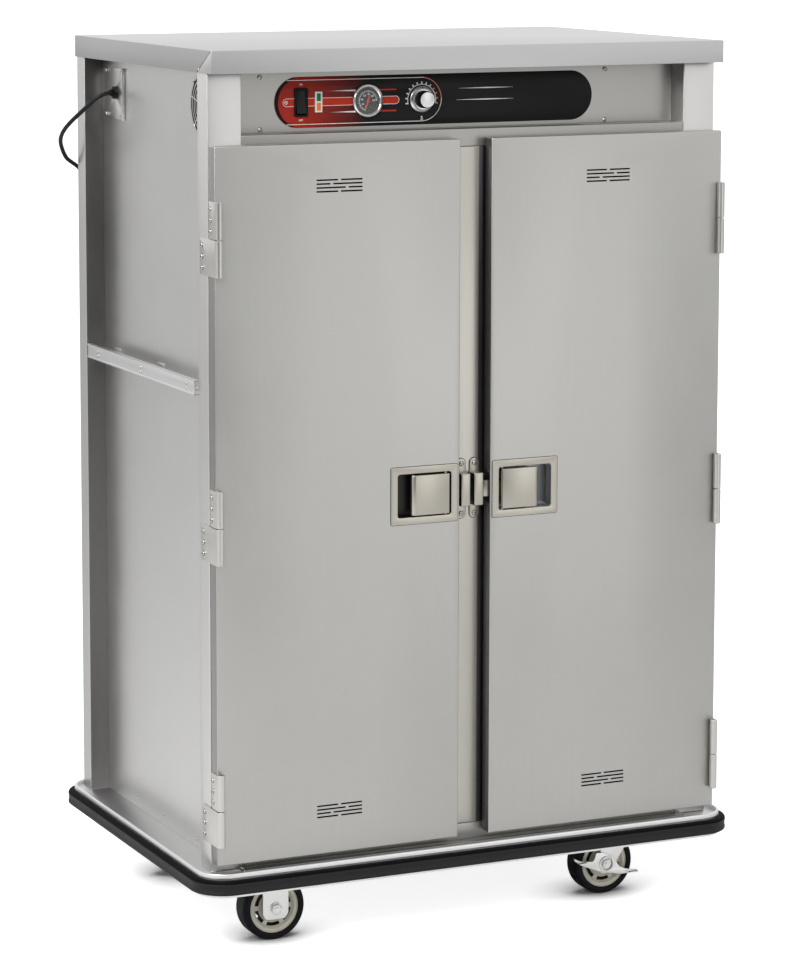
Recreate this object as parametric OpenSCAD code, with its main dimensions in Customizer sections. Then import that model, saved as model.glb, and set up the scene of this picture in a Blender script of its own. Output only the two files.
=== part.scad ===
// Plate warmer cabinet: two-door heated cabinet on a bumpered base with four casters.
// Millimetres. Z up, front of the cabinet towards -Y, origin on the floor under the
// middle of the bumper. One module per sub-part.

/* [Base] */
// Width over the bumper
base_w = 1154; // [1000:1:1400]
// Depth over the bumper
base_d = 807; // [760:1:900]
// Outer corner radius of the bumper
base_corner_r = 68; // [35:1:90]
// Height of the bumper's underside above the floor
bumper_z = 120; // [117:0.5:125]
// Height of the bumper strip
bumper_h = 27; // [22:0.5:29]
// Thickness of the bumper strip
bumper_t = 13; // [10:0.5:24]
// Height of the deck's top face above the floor
deck_z = 152; // [151:0.5:156]
// Thickness of the deck sheet
deck_t = 2.5; // [1.5:0.1:3]
// Height of the deck's turned-up rim above the deck
rim_h = 7; // [3:0.5:12]
// Width of the turned-up rim
rim_t = 6; // [4:0.5:10]
// Thickness of the base apron behind the bumper
apron_t = 3; // [2:0.5:5]
// How far the apron shows below the bumper
apron_drop = 7; // [1:0.5:9]
// Thickness of the toe plate in front of the door opening
toe_t = 3; // [2:0.5:4]
// How far the toe plate reaches in front of the door frame
toe_reach = 24; // [10:1:40]

/* [Body] */
// Width of the body over its side posts
body_w = 1073; // [960:1:1120]
// Distance from the bumper's front to the door frame's face
front_set = 64.5; // [60:0.5:90]
// Distance from the bumper's rear to the body's rear face
rear_set = 39.5; // [30:0.5:80]
// Height of the whole cabinet
overall_h = 1704; // [1500:1:1900]
// Thickness of the body sheets
sheet_t = 1.5; // [1:0.1:2.5]
// Width of the corner posts seen from the front
post_w = 68; // [55:1:80]
// Depth of the front posts
front_post_d = 50; // [44:1:70]
// Depth of the rear posts
rear_post_d = 43; // [40:1:70]
// Wall thickness of the posts, rails and mullion
post_wall = 2; // [1.5:0.1:3]
// How far the side panels are set in from the posts
side_recess = 40; // [25:1:42]
// How far the back panel is set in from the rear posts
back_recess = 12.5; // [8:0.5:20]
// Height of the top cap's skirt
cap_h = 43; // [30:1:60]
// Overhang of the top cap at each side
cap_side = 3.5; // [1:0.5:12]
// Overhang of the top cap in front of the door frame
cap_front = 30; // [10:1:38]
// Overhang of the top cap behind the body
cap_rear = 2; // [2:1:20]
// Height of the header rail over the doors
header_h = 34; // [26:1:44]
// Height of the sill rail under the doors
sill_h = 35; // [30:1:45]
// Height of the control recess between header rail and cap
recess_h = 116; // [100:1:140]
// Depth of the control recess
recess_d = 48; // [30:1:49]
// Width of the centre mullion
mullion_w = 90; // [84:1:110]
// Depth of the centre mullion
mullion_d = 30; // [20:1:40]
// Clearance between seated pieces
seat = 0.3; // [0.1:0.05:0.5]

/* [Doors] */
// Gap between the two closed doors
door_gap = 66; // [60:1:72]
// Thickness of a door
door_t = 29; // [28:0.5:34]
// Thickness of the door skins
skin_t = 1.2; // [1:0.1:2]
// Gap between the deck and the doors
door_lift = 19; // [14:1:26]
// Lap of the doors over the header rail
door_top_lap = 17; // [12:1:20]
// Thickness of the door gasket
gasket_t = 4.2; // [3:0.1:6]
// Width of the door gasket
gasket_w = 14; // [8:1:20]
// Running gap between a door's edge and the hinge leaf beside it
door_side_gap = 0.5; // [0.3:0.1:1]
// Width of a vent slot group
vent_w = 94; // [60:1:120]
// Height of one vent slot
vent_slot = 3; // [2:0.5:4]
// Rows in a vent slot group
vent_rows = 4; // [2:1:6]
// Pitch of the vent rows
vent_pitch = 7.2; // [6:0.1:10]
// Distance from a door's top to the middle of its upper vents
vent_top = 79; // [50:1:120]
// Distance from a door's bottom to the middle of its lower vents
vent_bottom = 83; // [50:1:120]

/* [Hinges] */
// Height of a hinge
hinge_h = 140; // [110:1:160]
// Height of the middle of the lowest hinge
hinge_low_z = 279; // [250:1:320]
// Spacing of the hinges
hinge_pitch = 539; // [420:1:560]
// Radius of the hinge barrel
barrel_r = 7.5; // [6.5:0.1:9]
// Radius of the hinge pin
hinge_pin_r = 3; // [2:0.1:4]
// Thickness of the hinge leaves
leaf_t = 2.5; // [2:0.1:3.5]
// Width of the door leaf on the door's edge
door_leaf_w = 24; // [18:1:26]
// Width of the frame leaf on the post
frame_leaf_w = 26; // [18:1:40]
// Radial running clearance of pins and axles
run_gap = 0.08; // [0.03:0.01:0.1]

/* [Latches] */
// Width of the latch pan
pan_w = 141; // [130:1:150]
// Height of the latch pan
pan_h = 111; // [100:1:120]
// Height of the middle of the latches
latch_z = 851; // [780:1:920]
// Distance from the door's free edge to the pan
pan_edge = 4; // [2:0.5:6]
// Width of the opening in the pan
pan_open_w = 113; // [106:1:118]
// Height of the opening in the pan
pan_open_h = 84; // [70:1:90]
// Depth of the pan
pan_depth = 24; // [20:0.5:26]
// Thickness of the pan's flange and walls
pan_t = 1.5; // [1:0.1:2]
// Width of the paddle
paddle_w = 78; // [60:1:82]
// Gap between the paddle and the pan at top and bottom
paddle_gap = 3.5; // [2:0.5:6]
// How far the paddle stands proud of the door
paddle_proud = 6.5; // [3:0.5:9]
// Thickness of the paddle's plate
paddle_t = 2.5; // [1.5:0.1:3.5]
// Width of the latch bolt
bolt_h = 31; // [16:1:40]
// Thickness of the latch bolt
bolt_t = 10; // [6:0.5:11]
// Width of a strike
strike_w = 20; // [14:0.5:21]
// Height of a strike over its rounded ends
strike_h = 117; // [90:1:130]
// Height of a strike's raised block
strike_block_h = 64; // [44:1:70]
// Depth of a strike's raised block
strike_block_d = 24; // [16:0.5:28]
// Gap between the two strikes
strike_gap = 8; // [4:0.5:12]
// Gap between a bolt's nose and its strike at rest
bolt_gap = 1.2; // [1:0.1:1.5]

/* [Controls] */
// Width of the control overlay
overlay_w = 672; // [560:1:720]
// Height of the control overlay
overlay_h = 96; // [80:1:104]
// Offset of the overlay's middle from the cabinet's middle
overlay_x = -46; // [-80:1:40]
// Height of the middle of the controls below the cap
control_drop = 61; // [52:1:70]
// Position of the rocker switch
rocker_x = -328; // [-345:1:-320]
// Width of the rocker switch opening
rocker_w = 28; // [18:1:32]
// Height of the rocker switch opening
rocker_h = 54; // [40:1:60]
// Position of the indicator lights
lights_x = -292; // [-300:1:-280]
// Width of the indicator block
lights_w = 15; // [10:1:18]
// Height of the indicator block
lights_h = 39; // [30:1:50]
// Position of the dial thermometer
gauge_x = -191; // [-220:1:-160]
// Radius of the dial thermometer's bezel
gauge_r = 32; // [24:0.5:36]
// Position of the thermostat knob
knob_x = -77; // [-110:1:-60]
// Radius of the thermostat knob's skirt
knob_skirt_r = 25; // [18:0.5:28]
// Radius of the thermostat knob's grip
knob_grip_r = 17; // [10:0.5:17.5]
// Height of the thermostat knob
knob_h = 26; // [18:0.5:34]
// Radius of the thermostat's shaft
shaft_r = 3; // [2:0.1:4]

/* [Side fittings] */
// Radius of the cooling fan's guard
guard_r = 61; // [50:1:64]
// Distance from the front post to the middle of the fan guard
guard_y = 70; // [66:1:110]
// Depth of the cooling fan
fan_d = 38; // [25:1:40]
// Width of the cord plate
cord_plate_w = 110; // [90:1:150]
// Height of the cord plate
cord_plate_h = 103; // [80:1:130]
// Distance from the rear post to the cord plate
cord_plate_gap = 16; // [1:0.5:20]
// Diameter of the power cord
cord_d = 8.5; // [8.5:0.1:8.6]
// Height of the middle of the push bars above the floor
bar_z = 1069.5; // [900:0.5:1150]
// Height of a push bar
bar_h = 28; // [20:1:36]
// Gap between a push bar's front end and the front post
bar_end_gap = 11.5; // [3:0.5:16]
// Gap between a push bar's rear end and the rear post
bar_rear_gap = 16.5; // [3:0.5:20]
// Depth of a push bar's channel
bar_t = 9; // [7:0.5:12]
// Spacing of the push bar's brackets
bar_pitch = 242; // [200:1:250]

/* [Casters] */
// Radius of the wheels
wheel_r = 63.5; // [60:0.5:65]
// Width of the wheels
wheel_w = 44; // [32:1:46]
// Radius of the wheel's rim inside the tyre
rim_r = 49.5; // [44:0.5:52]
// Radius of the wheel axles
axle_r = 6; // [5:0.1:7]
// Distance from the bumper's left side to the rigid casters
rigid_in = 175; // [150:0.5:200]
// Distance from the bumper's right side to the swivel casters' pivots
swivel_in = 217; // [190:0.5:240]
// Trail of the swivel casters
trail = 40; // [30:1:45]
// Front edge of the base to the front casters
caster_front = 100; // [96:1:160]
// Front edge of the base to the rear casters
caster_rear = 578; // [480:1:680]
// Width of the fork legs
leg_w = 53; // [36:1:56]
// Thickness of the fork legs
leg_t = 4; // [3:0.5:6]

/* [Inside] */
// Number of shelves on each side
tiers = 3; // [1:1:5]
// Height of the lowest shelf above the cavity's floor
shelf_first = 310; // [220:5:340]
// Spacing of the shelves
shelf_pitch = 300; // [120:5:310]
// Depth of a shelf
shelf_d = 560; // [400:5:600]
// Height of a shelf's turned-down edge
shelf_edge = 22; // [12:1:30]
// Thickness of the shelf sheet
shelf_t = 1.5; // [1:0.1:2.5]
// Radius of the blower wheel
blower_r = 80; // [60:1:90]
// Height of the air duct under the ceiling
duct_h = 66; // [60:1:80]

/* [Hidden] */
$fn = 48;
eps = 0.01;

// Heights and planes worked out from the driving sizes
base_front = -base_d / 2;
base_rear = base_d / 2;
frame_y = base_front + front_set;
rear_y = base_rear - rear_set;
body_half = body_w / 2;
post_in = body_half - post_w;
cap_z = overall_h - cap_h;
inside_top = overall_h - sheet_t - seat;
recess_z = cap_z - recess_h;
opening_top = recess_z - header_h;
opening_bottom = deck_z + sill_h;
panel_x = body_half - side_recess;
front_post_back = frame_y + front_post_d;
rear_post_front = rear_y - rear_post_d;
control_y = frame_y + recess_d;
control_z = cap_z - control_drop;
apron_z = bumper_z - apron_drop;
deck_under = deck_z - deck_t;

// Door planes
door_back = frame_y - gasket_t - seat;
door_front = door_back - door_t;
door_out = body_half - door_side_gap;
door_in = door_gap / 2;
door_w = door_out - door_in;
door_z0 = deck_z + door_lift;
door_z1 = opening_top + door_top_lap;
door_mid = (door_in + door_out) / 2;

// Hinge axis
pin_x = body_half + leaf_t - barrel_r;
pin_y = door_front - barrel_r - 0.5;
knuckle_gap = 0.6;
hinge_count = 3;
leaf_screw_pitch = hinge_h / 2 / 4;

// Latch planes
pan_x0 = door_in + pan_edge;
open_x0 = pan_x0 + (pan_w - pan_open_w) / 2;
open_x1 = open_x0 + pan_open_w;
pan_floor = door_front + pan_depth;
paddle_front = door_front - paddle_proud;
paddle_x0 = open_x0 + 6;
pivot_x = paddle_x0 + 3.5;
pivot_y = paddle_front + 10.5;
pivot_r = 2.5;
bolt_y = door_front + 12;
bolt_tip = strike_gap / 2 + strike_w + bolt_gap;
bolt_tail = open_x0 + 22;

// Swivel caster heights
caster_pad_t = 2;
caster_top = deck_under - caster_pad_t;
caster_plate_t = 4;
race_h = 8;
fork_top = caster_top - caster_plate_t - race_h;
fork_plate_t = 4;
fork_gap = wheel_w / 2 + 3;
rigid_x = base_w / 2 - rigid_in;
swivel_x = base_w / 2 - swivel_in;
rigid_front_y = base_front + caster_front - 4;
swivel_front_y = base_front + caster_front + 7;
rear_caster_y = base_front + caster_rear;
caster_bolt_x = 42;
caster_bolt_y = 36;
caster_bolt_r = 3.8;
caster_hole_r = 4.2;
king_pin_r = 6;
race_r = 30;

// Cavity
liner_half = post_in - 2;
liner_front = front_post_back + seat;
liner_back = rear_y - back_recess - sheet_t - 10;
liner_z0 = opening_bottom + 1;
liner_z1 = opening_top - 1;
rail_t = 12;
rail_w = 24;
duct_z = liner_z1 - sheet_t - duct_h;
blower_y = 90;

// ---------------------------------------------------------------- helpers

// Mirrors its children to the left side when side is -1
module sided(side) {
    if (side < 0) mirror([1, 0, 0]) children();
    else children();
}

// Rectangle with round corners, centred
module round_rect(w, d, r) {
    union() {
        square([w - 2 * r, d], center = true);
        square([w, d - 2 * r], center = true);
        for (sx = [-1, 1], sy = [-1, 1])
            translate([sx * (w / 2 - r), sy * (d / 2 - r)]) circle(r);
    }
}

// Ring between the base outline set in by a and the same set in by b
module base_ring(a, b) {
    difference() {
        round_rect(base_w - 2 * a, base_d - 2 * a, base_corner_r - a);
        round_rect(base_w - 2 * b, base_d - 2 * b, base_corner_r - b);
    }
}

// Cylinder along Y from y0 to y1
module y_cyl(r, y0, y1) {
    translate([0, y1, 0]) rotate([90, 0, 0]) cylinder(r = r, h = y1 - y0);
}

// Cylinder along X from x0 to x1
module x_cyl(r, x0, x1) {
    translate([x0, 0, 0]) rotate([0, 90, 0]) cylinder(r = r, h = x1 - x0);
}

// Box given by its two corners
module box(a, b) {
    translate(a) cube(b - a);
}

// Low round screw head standing on the XY plane, with a cross recess
module screw_head(r, h) {
    difference() {
        union() {
            cylinder(r = r, h = h * 0.5);
            translate([0, 0, h * 0.5]) cylinder(r1 = r, r2 = r * 0.6, h = h * 0.5);
        }
        for (a = [0, 90]) rotate([0, 0, a])
            translate([-r * 0.55, -r * 0.12, h * 0.55]) cube([r * 1.1, r * 0.24, h]);
    }
}

// ---------------------------------------------------------------- base

module base_frame() {
    pad_w = 120;
    color("silver") {
        translate([0, 0, apron_z]) linear_extrude(deck_under - seat - apron_z)
            base_ring(bumper_t + seat, bumper_t + seat + apron_t);
        for (s = [-1, 1]) {
            cx = s < 0 ? -rigid_x : swivel_x;
            front_y = s < 0 ? rigid_front_y : swivel_front_y;
            difference() {
                box([cx - pad_w / 2, base_front + bumper_t + apron_t + 1, caster_top],
                    [cx + pad_w / 2, base_rear - bumper_t - apron_t - 1, deck_under - seat]);
                for (cy = [front_y, rear_caster_y]) translate([cx, cy, caster_top - 1])
                    caster_bolt_places() cylinder(r = caster_hole_r, h = 8);
            }
        }
    }
}

// Deck sheet with its turned-up rim, and the toe plate that lies on it under the doors
module deck() {
    toe_half = post_in + 10;
    color("lightgrey") {
        translate([0, 0, deck_under]) linear_extrude(deck_t)
            round_rect(base_w - 2 * bumper_t - 2 * seat, base_d - 2 * bumper_t - 2 * seat,
                       base_corner_r - bumper_t - seat);
        translate([0, 0, deck_z - eps]) linear_extrude(rim_h * 0.6)
            base_ring(bumper_t + seat, bumper_t + rim_t);
        translate([0, 0, deck_z + rim_h * 0.6 - 2 * eps]) linear_extrude(rim_h * 0.4)
            base_ring(bumper_t + seat + rim_t * 0.22, bumper_t + rim_t * 0.78);
        box([-toe_half, frame_y - toe_reach, deck_z - eps], [toe_half, frame_y - seat, deck_z + toe_t]);
    }
}

module bumper() {
    lip = 4;
    color("#1c1c1e") {
        translate([0, 0, bumper_z + lip]) linear_extrude(bumper_h - 2 * lip)
            base_ring(0, bumper_t);
        for (z = [bumper_z, bumper_z + bumper_h - lip - eps]) translate([0, 0, z])
            linear_extrude(lip + eps) base_ring(lip * 0.45, bumper_t);
    }
}

// ---------------------------------------------------------------- casters

// Puts its children at the four bolts of a caster plate
module caster_bolt_places() {
    for (dx = [-1, 1], dy = [-1, 1]) translate([dx * caster_bolt_x, dy * caster_bolt_y, 0]) children();
}

// Steel plate on four bolts, top face at caster_top
module caster_plate() {
    z = caster_top - caster_plate_t - seat;
    nut_r = 6.5;
    nut_h = 6;
    translate([0, 0, z]) difference() {
        linear_extrude(caster_plate_t) round_rect(114, 98, 8);
        translate([0, 0, -1]) caster_bolt_places() cylinder(r = caster_hole_r, h = caster_plate_t + 2);
    }
    caster_bolt_places() {
        translate([0, 0, z - nut_h]) cylinder(r = nut_r, h = nut_h, $fn = 6);
        translate([0, 0, z - eps]) cylinder(r = caster_bolt_r, h = caster_plate_t + caster_pad_t + seat);
    }
}

// Outline of a straight fork leg, axle at the origin, top edge at height top
module straight_leg(top) {
    low = 21;
    union() {
        translate([-leg_w / 2, 4]) square([leg_w, top - 4]);
        intersection() {
            circle(leg_w / 2 + 1.5);
            translate([-leg_w / 2, -low]) square([leg_w, low + 8]);
        }
    }
}

// Outline of a raked fork leg: axle at the origin, swivel axis at x = trail
module raked_leg(top) {
    low = 19;
    union() {
        intersection() {
            circle(low + 2);
            translate([-low - 2, -low]) square([2 * low + 4, 2 * low + 2]);
        }
        polygon([[-low - 1, 4], [trail - 34, top], [trail + 30, top], [low + 1, 2]]);
    }
}

// Axle bolt with hexagon head and nut, axle at the origin along Y
module axle_bolt(half) {
    y_cyl(axle_r, -half, half);
    translate([0, -half + eps, 0]) rotate([90, 0, 0]) cylinder(r = 11, h = 7, $fn = 6);
    translate([0, half + 9 - eps, 0]) rotate([90, 0, 0]) cylinder(r = 11, h = 9, $fn = 6);
}

// Pair of fork legs from an outline, bored for the axle
module fork_legs() {
    for (s = [-1, 1]) difference() {
        translate([0, s * (fork_gap + leg_t / 2) + leg_t / 2, 0]) rotate([90, 0, 0])
            linear_extrude(leg_t) children();
        y_cyl(axle_r + seat, -fork_gap - leg_t - 1, fork_gap + leg_t + 1);
    }
}

module rigid_caster(y) {
    top = fork_top - fork_plate_t;
    color("gainsboro") translate([-rigid_x, y, 0]) {
        caster_plate();
        translate([0, 0, wheel_r]) fork_legs() straight_leg(top - wheel_r + eps);
        box([-leg_w / 2, -fork_gap - leg_t, top], [leg_w / 2, fork_gap + leg_t, fork_top]);
        box([-leg_w / 2 + 6, -26, fork_top - eps],
            [leg_w / 2 - 6, 26, caster_top - caster_plate_t - seat + eps]);
        translate([0, 0, wheel_r]) axle_bolt(fork_gap + leg_t);
    }
}

module rigid_casters() {
    rigid_caster(rigid_front_y);
    rigid_caster(rear_caster_y);
}

// Fixed half of the swivel casters: plate, upper race and king pin
module swivel_plates() {
    pin_head = 3;
    color("gainsboro") for (y = [swivel_front_y, rear_caster_y]) translate([swivel_x, y, 0]) {
        caster_plate();
        translate([0, 0, fork_top + race_h / 2]) cylinder(r = race_r, h = race_h / 2);
        translate([0, 0, fork_top - fork_plate_t - pin_head]) {
            cylinder(r = king_pin_r, h = pin_head + fork_plate_t + race_h / 2 + 1);
            translate([0, 0, -seat]) cylinder(r = king_pin_r * 1.5, h = pin_head);
        }
    }
}

// Turning half of a swivel caster, its swivel axis at swivel_x
module swivel_fork(y) {
    top = fork_top - fork_plate_t;
    color("gainsboro") translate([swivel_x, y, 0]) {
        difference() {
            union() {
                translate([0, 0, top]) cylinder(r = race_r + 3, h = fork_plate_t + race_h / 2 - seat);
                box([-race_r - 4, -fork_gap - leg_t, top], [race_r, fork_gap + leg_t, fork_top]);
            }
            translate([0, 0, top - 1]) cylinder(r = king_pin_r + run_gap, h = fork_plate_t + race_h);
        }
        translate([-trail, 0, wheel_r]) {
            fork_legs() raked_leg(top - wheel_r + eps);
            axle_bolt(fork_gap + leg_t);
        }
    }
}

// Outline of a brake lever round the wheel's centre, front wing first
lever_outline = [
    [-74, 19], [-66, 14.8], [-58, 11.6], [-46, 9.3], [-32, 8], [-27.5, 13], [-25, 23], [-21, 25],
    [-7, 24], [3.4, 19.8], [13.7, 12.5], [22.4, 2], [28.5, -8], [43.2, -14.4], [58.7, -17.8],
    [69, -19], [71.7, -21.7], [69, -23.6], [58, -24.4], [43.2, -24.6], [31.1, -24.6],
    [17.3, -21.7], [0, -18.3], [-17.1, -14.5], [-29.1, -9.1], [-58.3, 3.2], [-72, 13.2]
];
lever_t = 3.4;

// Two-winged lever beside the fork leg that locks the wheel, hub on the axle bolt
module brake_lever(y) {
    out = fork_gap + leg_t + seat;
    bolt_clear = 11 + seat;
    collar_r = 16.5;
    collar_t = 5;
    pad_t = 2;
    pad_reach = 11.5;
    color("gainsboro") translate([swivel_x - trail, y, wheel_r]) {
        difference() {
            translate([0, -out, 0]) rotate([90, 0, 0]) linear_extrude(lever_t)
                polygon(lever_outline);
            y_cyl(bolt_clear, -out - lever_t - 1, -out + 1);
        }
        difference() {
            y_cyl(collar_r, -out - collar_t, -out - lever_t + eps);
            y_cyl(collar_r - 3.7, -out - collar_t - 1, -out);
        }
        for (p = [[-66, -48, 8], [47, 67, -21.5]])
            box([p[0], -out - lever_t - pad_reach, p[2]], [p[1], -out - lever_t + eps, p[2] + pad_t]);
    }
}

// Wheel: moulded rim with six windows, and its tyre
module caster_wheel(x, y) {
    hub_r = 14;
    web_t = 16;
    crown = 7;
    translate([x, y, wheel_r]) rotate([90, 0, 0]) {
        color("#c9c3a8") difference() {
            rotate_extrude() polygon([
                [axle_r + run_gap, -wheel_w / 2 - 2], [hub_r, -wheel_w / 2 - 2],
                [hub_r + 2, -web_t / 2], [rim_r - 8, -web_t / 2], [rim_r - 6, -wheel_w / 2 + 4],
                [rim_r, -wheel_w / 2 + 4], [rim_r, wheel_w / 2 - 4],
                [rim_r - 6, wheel_w / 2 - 4], [rim_r - 8, web_t / 2], [hub_r + 2, web_t / 2],
                [hub_r, wheel_w / 2 + 2], [axle_r + run_gap, wheel_w / 2 + 2]]);
            for (a = [0:60:300]) rotate([0, 0, a + 8]) rotate_extrude(angle = 44)
                translate([hub_r + 16, -web_t]) square([rim_r - hub_r - 28, 2 * web_t]);
        }
        color("#17171a") rotate_extrude() union() {
            translate([rim_r + eps, -wheel_w / 2 + 2]) square([wheel_r - rim_r - crown, wheel_w - 4]);
            translate([wheel_r - crown - 1, -wheel_w / 2 + crown + 2])
                square([crown + 1, wheel_w - 2 * crown - 4]);
            for (s = [-1, 1]) translate([wheel_r - crown, s * (wheel_w / 2 - crown - 2)]) circle(crown);
        }
    }
}

// ---------------------------------------------------------------- body

// Closed box section standing on the deck, folded from one sheet
module post(x0, y0, y1) {
    difference() {
        box([x0, y0, deck_z], [x0 + post_w, y1, inside_top]);
        box([x0 + post_wall, y0 + post_wall, deck_z - 1],
            [x0 + post_w - post_wall, y1 - post_wall, inside_top - post_wall]);
    }
}

module front_posts() {
    color("lightgrey") for (s = [-1, 1]) sided(s) post(post_in, frame_y, front_post_back);
}

module rear_posts() {
    color("lightgrey") for (s = [-1, 1]) sided(s) post(post_in, rear_post_front, rear_y);
}

// Level box section between the front posts
module cross_rail(z0, z1) {
    difference() {
        box([-post_in + seat, frame_y, z0], [post_in - seat, front_post_back, z1]);
        box([-post_in - 1, frame_y + post_wall, z0 + post_wall],
            [post_in + 1, front_post_back - post_wall, z1 - post_wall]);
    }
}

module header_rail() {
    color("lightgrey") cross_rail(opening_top, recess_z);
}

module sill_rail() {
    color("lightgrey") cross_rail(deck_z + seat, opening_bottom);
}

module center_mullion() {
    color("lightgrey") difference() {
        box([-mullion_w / 2, frame_y, opening_bottom + seat],
            [mullion_w / 2, frame_y + mullion_d, opening_top - seat]);
        box([-mullion_w / 2 + post_wall, frame_y + post_wall, opening_bottom - 1],
            [mullion_w / 2 - post_wall, frame_y + mullion_d + 1, opening_top + 1]);
    }
}

// Side panel sheet between the posts, in the plane x = panel_x, with a folded flange
// against each post. Children are cut out of it.
module side_sheet() {
    y0 = front_post_back + seat;
    y1 = rear_post_front - seat;
    flange = 14;
    difference() {
        union() {
            box([panel_x - sheet_t, y0, deck_z + seat], [panel_x, y1, inside_top]);
            for (y = [y0, y1 - sheet_t])
                box([panel_x - flange, y, deck_z + seat], [panel_x, y + sheet_t, inside_top]);
        }
        children();
    }
}

fan_y = front_post_back + guard_y;
fan_z = control_z - 5;
plate_y1 = rear_post_front - cord_plate_gap;
plate_y0 = plate_y1 - cord_plate_w;
plate_z1 = cap_z - 18;
plate_z0 = plate_z1 - cord_plate_h;
gland_y = plate_y1 - cord_plate_w * 0.56;
gland_z = (plate_z0 + plate_z1) / 2 + 2;

module side_panel_left() {
    color("lightgrey") mirror([1, 0, 0]) side_sheet() {
        translate([0, fan_y, fan_z]) x_cyl(guard_r - 6, panel_x - 5, panel_x + 1);
        translate([0, gland_y, gland_z]) x_cyl(22, panel_x - 5, panel_x + 1);
    }
}

module side_panel_right() {
    color("lightgrey") side_sheet();
}

module back_panel() {
    y1 = rear_y - back_recess;
    flange = 14;
    color("lightgrey") {
        box([-post_in + seat, y1 - sheet_t, deck_z + seat], [post_in - seat, y1, inside_top]);
        for (s = [-1, 1]) sided(s) box([post_in - seat - sheet_t, y1 - flange, deck_z + seat],
                                       [post_in - seat, y1, inside_top]);
    }
}

// Top cap: a shallow pan turned upside down over the posts
module top_cap() {
    half = body_half + cap_side;
    y0 = frame_y - cap_front;
    y1 = rear_y + cap_rear;
    edge = 0.8;
    color("silver") difference() {
        union() {
            box([-half, y0, cap_z], [half, y1, overall_h - edge]);
            box([-half + edge, y0 + edge, cap_z], [half - edge, y1 - edge, overall_h]);
        }
        box([-half + sheet_t, y0 + sheet_t, cap_z - 1],
            [half - sheet_t, y1 - sheet_t, overall_h - sheet_t]);
    }
}

// ---------------------------------------------------------------- controls

// Panel at the back of the recess, with the openings for what is mounted in it
module control_panel() {
    half = post_in - seat;
    flange = 9;
    color("silver") difference() {
        union() {
            box([-half, control_y, recess_z + seat], [half, control_y + sheet_t, inside_top]);
            box([-half, control_y, recess_z + seat],
                [half, control_y + flange, recess_z + seat + sheet_t]);
        }
        box([rocker_x - rocker_w / 2 + 1, control_y - 1, control_z - rocker_h / 2 + 1],
            [rocker_x + rocker_w / 2 - 1, control_y + 5, control_z + rocker_h / 2 - 1]);
        box([lights_x - lights_w / 2 + 1, control_y - 1, control_z - lights_h / 2 + 1],
            [lights_x + lights_w / 2 - 1, control_y + 5, control_z + lights_h / 2 - 1]);
        translate([gauge_x, 0, control_z]) y_cyl(gauge_r - 3.5, control_y - 1, control_y + 5);
        translate([knob_x, 0, control_z]) y_cyl(6, control_y - 1, control_y + 5);
    }
    color("gainsboro") for (x = [overlay_x - overlay_w / 2 - 29, overlay_x + overlay_w / 2 + 29],
                            z = [-49, 49])
        translate([x, control_y, control_z + z]) rotate([90, 0, 0]) screw_head(4.5, 3);
}

overlay_t = 0.8;
overlay_y = control_y - seat / 3 - overlay_t;

// Printed label with round ends, cut out round the controls
module control_overlay() {
    color("#2a1012") translate([0, overlay_y + overlay_t, 0]) rotate([90, 0, 0])
        linear_extrude(overlay_t) difference() {
            translate([overlay_x, control_z]) round_rect(overlay_w, overlay_h, overlay_h / 2 - 0.5);
            translate([rocker_x - rocker_w / 2 + 1, control_z - rocker_h / 2 + 1])
                square([rocker_w - 2, rocker_h - 2]);
            translate([lights_x - lights_w / 2 + 1, control_z - lights_h / 2 + 1])
                square([lights_w - 2, lights_h - 2]);
            translate([gauge_x, control_z]) circle(gauge_r - 3);
            translate([knob_x, control_z]) circle(6.5);
        }
}

face_y = overlay_y - seat / 3;
gauge_face = face_y - 3;

// Dial thermometer: bezel, face and the case behind the panel
module thermometer() {
    translate([gauge_x, 0, control_z]) {
        color("gainsboro") translate([0, face_y, 0]) rotate([90, 0, 0]) rotate_extrude()
            polygon([[gauge_r - 5, 0], [gauge_r, 0], [gauge_r, 3], [gauge_r - 2.2, 6.5],
                     [gauge_r - 3.4, 6.5], [gauge_r - 5, 4]]);
        color("#111113") difference() {
            union() {
                y_cyl(gauge_r - 5 + eps, gauge_face, face_y + 3);
                y_cyl(gauge_r - 6, face_y + 3 - eps, control_y + 18);
            }
            y_cyl(1.2 + run_gap, gauge_face - 1, gauge_face + 3);
        }
    }
}

module thermometer_needle() {
    len = gauge_r - 14;
    tail = 11;
    cold = -108;
    color("#c22020") translate([gauge_x, 0, control_z]) {
        y_cyl(1.2, gauge_face - 1.6, gauge_face + 2.5);
        y_cyl(3, gauge_face - 1.6, gauge_face - 0.6);
        translate([0, gauge_face - 0.6, 0]) rotate([90, 0, 0]) linear_extrude(0.8) rotate([0, 0, cold])
            polygon([[-tail, -1.4], [0, -1.8], [len, -0.4], [len, 0.4], [0, 1.8], [-tail, 1.4]]);
    }
}

rocker_depth = 16;
rocker_wall = 2.2;

module rocker_frame() {
    lip = 1.5;
    color("#151517") translate([rocker_x, 0, control_z]) difference() {
        union() {
            box([-rocker_w / 2, face_y - 2.2, -rocker_h / 2], [rocker_w / 2, face_y, rocker_h / 2]);
            box([-rocker_w / 2 + lip, face_y - eps, -rocker_h / 2 + lip],
                [rocker_w / 2 - lip, face_y + rocker_depth, rocker_h / 2 - lip]);
        }
        box([-rocker_w / 2 + lip + rocker_wall, face_y - 3, -rocker_h / 2 + lip + rocker_wall],
            [rocker_w / 2 - lip - rocker_wall, face_y + rocker_depth - 2,
             rocker_h / 2 - lip - rocker_wall]);
        translate([0, face_y + 3, 0])
            x_cyl(1.6 + run_gap, -rocker_w / 2 + lip + 0.8, rocker_w / 2 - lip - 0.8);
    }
}

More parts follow.
